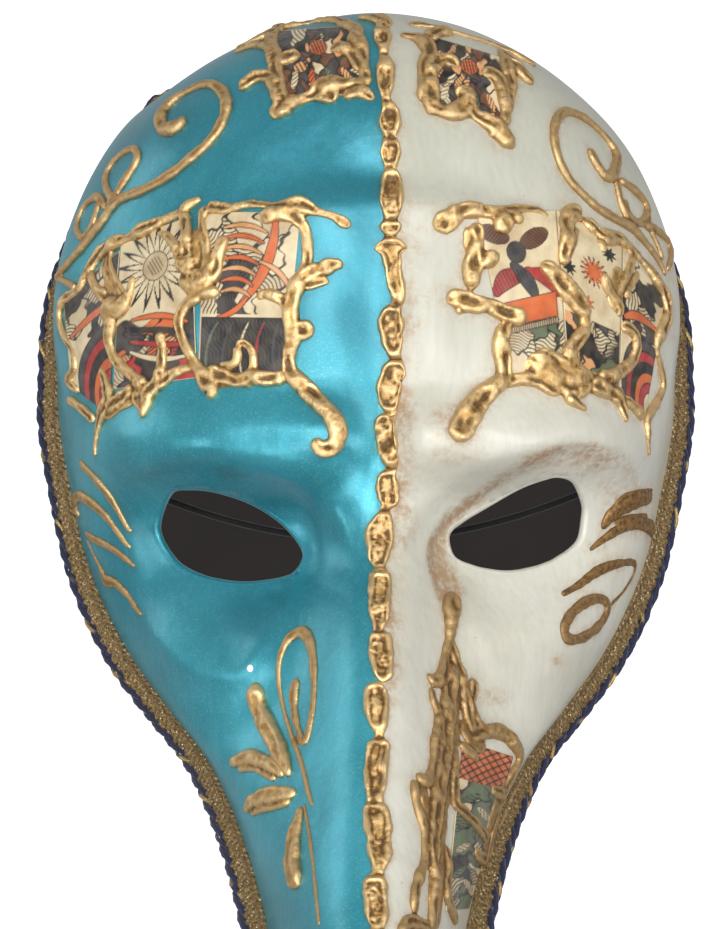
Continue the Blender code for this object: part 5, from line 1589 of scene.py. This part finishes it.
def make_card(node, corners, draw, look):
    ll, lr, ur, ul = (np.array(c, float) for c in corners)
    across = (np.linalg.norm(lr - ll) + np.linalg.norm(ur - ul)) / 2 * 1.15
    up = (np.linalg.norm(ul - ll) + np.linalg.norm(ur - lr)) / 2 * 1.1
    columns, rows = int(across / CARD_CELL), int(up / CARD_CELL)
    u, v = np.meshgrid(np.linspace(0, 1, columns), np.linspace(0, 1, rows))
    low = ll + (lr - ll) * u[..., None]
    high = ul + (ur - ul) * u[..., None]
    spots = low + (high - low) * v[..., None]
    points, normals = [], []
    for a, b in spots.reshape(-1, 2):
        place, normal = fine.at(a, b)
        points.append(place)
        normals.append(normal)
    points, normals = np.array(points), np.array(normals)
    crease = 0.05 * wobble(points, 4.0, len(node))
    top = points + normals * (PAPER_LIFT + crease)[:, None]
    shape, faces = thick_grid(top, normals, rows, columns, PAPER_THICK)
    faces = faces[:, ::-1]
    made = add_mesh(node + "_print", shape, faces, look)
    p = Print(u.reshape(-1) * across, v.reshape(-1) * up)
    draw(p, across, up)
    worn = np.clip(0.5 + wobble(points, 2.5, len(node) + 5) * 1.2, 0, 1)
    p.ink(0.08 * worn, PAPER)
    paint(made.data, "art", np.vstack([p.color, p.color]))
    stands_for(made, node)


card_look = printed_card()
for card_node, (card_corners, card_draw) in CARDS.items():
    make_card(card_node, card_corners, card_draw, card_look)


# ---------------------------------------------------------------- braid and cord


def rim_frames():
    """Round the rim of the coarse grid: the edge, the way in, the normal and the flange's direction."""
    wide = COLUMNS + 1
    loop = [(0, j) for j in range(0, COLUMNS, 2)]
    loop += [(i, COLUMNS) for i in range(ROWS)]
    loop += [(ROWS, COLUMNS - j) for j in range(0, COLUMNS, 8)]
    loop += [(ROWS - i, 0) for i in range(ROWS)]
    points, normals = coarse.points, coarse.normals
    places = [points[i * wide + j] for i, j in loop]
    deep = COLUMNS // 4
    rows = []
    for k, (i, j) in enumerate(loop):
        along = places[(k + 1) % len(loop)] - places[k - 1]
        along /= np.linalg.norm(along)
        edge, normal = places[k], normals[i * wide + j]
        inward = np.cross(normal, along)
        inward /= np.linalg.norm(inward)
        inner = points[min(max(i, 3), ROWS - 3) * wide + min(max(j, deep), COLUMNS - deep)]
        if np.dot(inward, inner - edge) < 0:
            inward = -inward
        aside = np.array((edge[0], 0.0, edge[2] - min(max(edge[2], -150.0), 70.0)))
        aside /= np.linalg.norm(aside)
        sideways = 0.55 * (1 - rise(edge[2] - 70, 15))
        flange = aside * sideways - inward * (1 - sideways)
        flange = flange - along * np.dot(flange, along)
        flange /= np.linalg.norm(flange)
        front = np.cross(flange, along)
        front /= np.linalg.norm(front)
        if np.dot(front, normal) < 0:
            front = -front
        rows.append(np.concatenate([edge, inward, normal, flange, front]))
    return np.array(rows)


def fine_rim(step):
    """The rim's frames, evenly spaced at about step millimetres."""
    rows = rim_frames()
    t = np.linspace(0, len(rows), 40 * len(rows), endpoint=False)
    dense = curve_through(rows, t, closed=True)
    along = lengths_along(np.vstack([dense[:, :3], dense[:1, :3]]))
    count = round(along[-1] / step)
    even = np.linspace(0, along[-1], count, endpoint=False)
    dense = np.vstack([dense, dense[:1]])
    found = np.stack([np.interp(even, along, dense[:, k]) for k in range(15)], 1)
    parts = [found[:, 3 * k : 3 * k + 3] for k in range(5)]
    return even, [parts[0]] + [p / np.linalg.norm(p, axis=1)[:, None] for p in parts[1:]]


def make_braid():
    """Looped yarn: rows of stitches that lean both ways from the middle, on a woven band."""
    along, (edge, inward, normal, flange, front) = fine_rim(BRAID_STEP)
    w = np.linspace(0, 1, BRAID_ACROSS)
    s = along[:, None]
    count = len(along)
    scallop = 0.28 * np.sin(s * 2 * math.pi / 3.1) + 0.2 * np.sin(s * 2 * math.pi / 7.7 + 1.0)
    reach = w[None, :] * (BRAID_WIDTH + scallop)
    fold = np.abs(w[None, :] - 0.5) * 2.2
    stitch = np.abs(np.sin(math.pi * (s / 1.9 + fold)))
    second = np.abs(np.sin(math.pi * (s / 2.6 - 3.1 * w[None, :] + 0.2 * np.sin(s * 0.9))))
    height = np.maximum(stitch, 0.85 * second) ** 0.8
    crown = np.sqrt(np.clip(1 - (2 * w[None, :] - 1) ** 4, 0, 1))
    rng = np.random.default_rng(5)
    grain = rng.uniform(-1, 1, (count, BRAID_ACROSS))
    grain = (grain + np.roll(grain, 1, 0)) / 2
    thin = np.clip(0.1 + w[None, :] / 0.14, 0, 1)
    top = BRAID_THICK * (0.45 + 0.55 * height * crown) * thin + 0.2 * grain * crown
    inner = edge + inward * (BRAID_INSIDE + 0.7)
    seat = []
    for place in inner:
        on, way, _, _ = fine.tree.find_nearest(Vector(place))
        seat.append(on - way * 0.35)
    seat = np.array(seat)
    outer = edge + normal * BRAID_GAP + flange * (BRAID_WIDTH - BRAID_INSIDE + 0.5)
    middle = edge + normal * 0.35
    share = np.clip(reach / BRAID_WIDTH, 0, 1.08)
    turn = BRAID_INSIDE / BRAID_WIDTH  # where the braid turns over the rim
    first = np.clip(share / turn, 0, 1)[..., None]
    after = np.clip((share - turn) / (1 - turn), 0, 1.1)[..., None]
    base = seat[:, None] + (middle - seat)[:, None] * first + (outer - middle)[:, None] * after
    upper = base + front[:, None] * top[..., None]
    section = np.concatenate([upper, base[:, ::-2]], 1)
    around = section.shape[1]
    made = add_mesh("gold_braid_looped", section.reshape(-1, 3), ring_faces(count, around), braid_thread())
    # The loops' height, which the yarn's material turns into painted shade where it is low.
    depth = np.concatenate([height * (0.4 + 0.6 * crown), np.zeros((count, around - BRAID_ACROSS))], 1)
    paint(made.data, "depth", depth.reshape(-1))
    face_outwards(made.data)
    stands_for(made, "gold_braid")


def make_cord():
    """Two navy yarns and a thinner gilt one, twisted together."""
    along, (edge, _, normal, flange, front) = fine_rim(CORD_STEP)
    beyond = BRAID_WIDTH - BRAID_INSIDE - 0.5 + CORD_RADIUS
    centre = edge + normal * BRAID_GAP + flange * beyond + front * 0.1
    turns = round(along[-1] / CORD_PITCH)
    angle = np.arange(len(along)) / len(along) * 2 * math.pi * turns
    look = navy_yarn()
    yarns = []
    # Each yarn's radius, its distance from the cord's middle, how far it is gilt and where it starts
    plies = ((0.86, 0.76, 0.0, 0.0), (0.86, 0.76, 0.0, 2.5), (0.5, 1.12, 1.0, 4.4))
    for k, (radius, away, share, start) in enumerate(plies):
        turn = (angle + start)[:, None]
        line = centre + (front * np.cos(turn) + flange * np.sin(turn)) * away
        m, j = np.meshgrid(np.arange(len(line)), np.arange(YARN_AROUND), indexing="ij")
        ply = 1 + 0.10 * np.cos(j * 2 * math.pi / YARN_AROUND * 3 + m * 0.9)
        points, faces = tube(line, radius * ply, YARN_AROUND, closed=True)
        yarn = add_mesh(f"yarn_{k}", points, faces, look)
        shown = rise(np.sin(m * 0.37) + np.sin(m * 0.11) - 0.2, 0.2)
        paint(yarn.data, "gilt", share * shown.reshape(-1))
        yarns.append(yarn)
    made = yarns[0]
    made.name = made.data.name = "navy_edge_cord_twisted"
    join_into(made, yarns[1:])
    face_outwards(made.data)
    stands_for(made, "navy_edge_cord")


make_braid()
make_cord()


# ---------------------------------------------------------------- floor and light


SWEEP_START, SWEEP_RADIUS, SWEEP_HALF, SWEEP_TOP = 1900, 700, 3000, 4000
BOARD_BACK, BOARD_HALF, BOARD_HEIGHTS = 1750, 235, (-130, 45)


def make_floor():
    """A pale sweep that curves up behind the mask."""
    line = [(-SWEEP_HALF, 0), (SWEEP_START, 0)]
    for angle in (k * math.pi / 24 for k in range(1, 13)):
        line.append((SWEEP_START + SWEEP_RADIUS * math.sin(angle), SWEEP_RADIUS * (1 - math.cos(angle))))
    line.append((SWEEP_START + SWEEP_RADIUS, SWEEP_TOP))
    points = [(x, y, z + FLOOR) for y, z in line for x in np.linspace(-SWEEP_HALF, SWEEP_HALF, 9)]
    n = Nodes("pale_floor", Roughness=0.9)
    color = n.mix(n.noise(300), (0.9, 0.9, 0.9), (0.93, 0.93, 0.93))
    n.out(Base_Color=color, Emission_Color=(1.0, 1.0, 1.0))
    n.shader.inputs["Emission Strength"].default_value = 0.8
    floor = add_mesh("floor", points, grid_faces(len(line), 9), n.material)
    floor.visible_diffuse = floor.visible_glossy = False


def make_dark_board():
    """A dark board far behind the mask, which only its eye holes show."""
    n = Nodes("dark_board", Roughness=0.9)
    n.out(Base_Color=n.mix(n.noise(120), srgb(56, 51, 48), srgb(44, 40, 38)))
    points = [(x, BOARD_BACK, z) for z in BOARD_HEIGHTS for x in (-BOARD_HALF, BOARD_HALF)]
    board = add_mesh("dark_board", points, grid_faces(2, 2), n.material)


def soft_light(name, place, size, power, target):
    """A white area light. Its place, size and target are in metres."""
    light = bpy.data.lights.new(name, "AREA")
    light.shape = "RECTANGLE"
    light.size, light.size_y = size
    light.energy = power
    made = add_object(name, light)
    made.location = place
    made.rotation_euler = (Vector(target) - Vector(place)).to_track_quat("-Z", "Y").to_euler()


make_floor()
make_dark_board()
for light_row in (
    ("key", (-0.12, -0.9, 0.45), (1.2, 0.35), 2.2, (0.0, -0.02, 0.0)),
    ("front", (-0.05, -1.15, 0.0), (0.9, 0.4), 5.9, (0.0, -0.02, 0.0)),
    ("window", (0.6, -0.85, 0.4), (0.35, 0.4), 1.4, (0.0, -0.02, 0.0)),
    ("behind", (-0.85, 0.2, 0.35), (0.2, 0.4), 0.5, (0.0, -0.05, -0.08)),
    ("right", (0.9, -0.65, -0.05), (0.2, 0.4), 1.6, (0.0, -0.02, 0.0)),
    ("left", (-0.95, -0.5, -0.1), (0.2, 0.5), 1.4, (0.0, -0.02, 0.0)),
    ("strip", (-0.1, -1.0, 0.34), (0.6, 0.1), 2.0, (0.0, -0.07, 0.02)),
    ("low", (-0.1, -1.0, -0.5), (0.9, 0.4), 4.5, (0.0, 0.0, 0.0)),
):
    soft_light(*light_row)
world = bpy.data.worlds.new("studio")
world.use_nodes = True
sky = world.node_tree.nodes["Background"].inputs
sky["Color"].default_value = (1.0, 1.0, 1.0, 1.0)
sky["Strength"].default_value = 0.43
bpy.context.scene.world = world
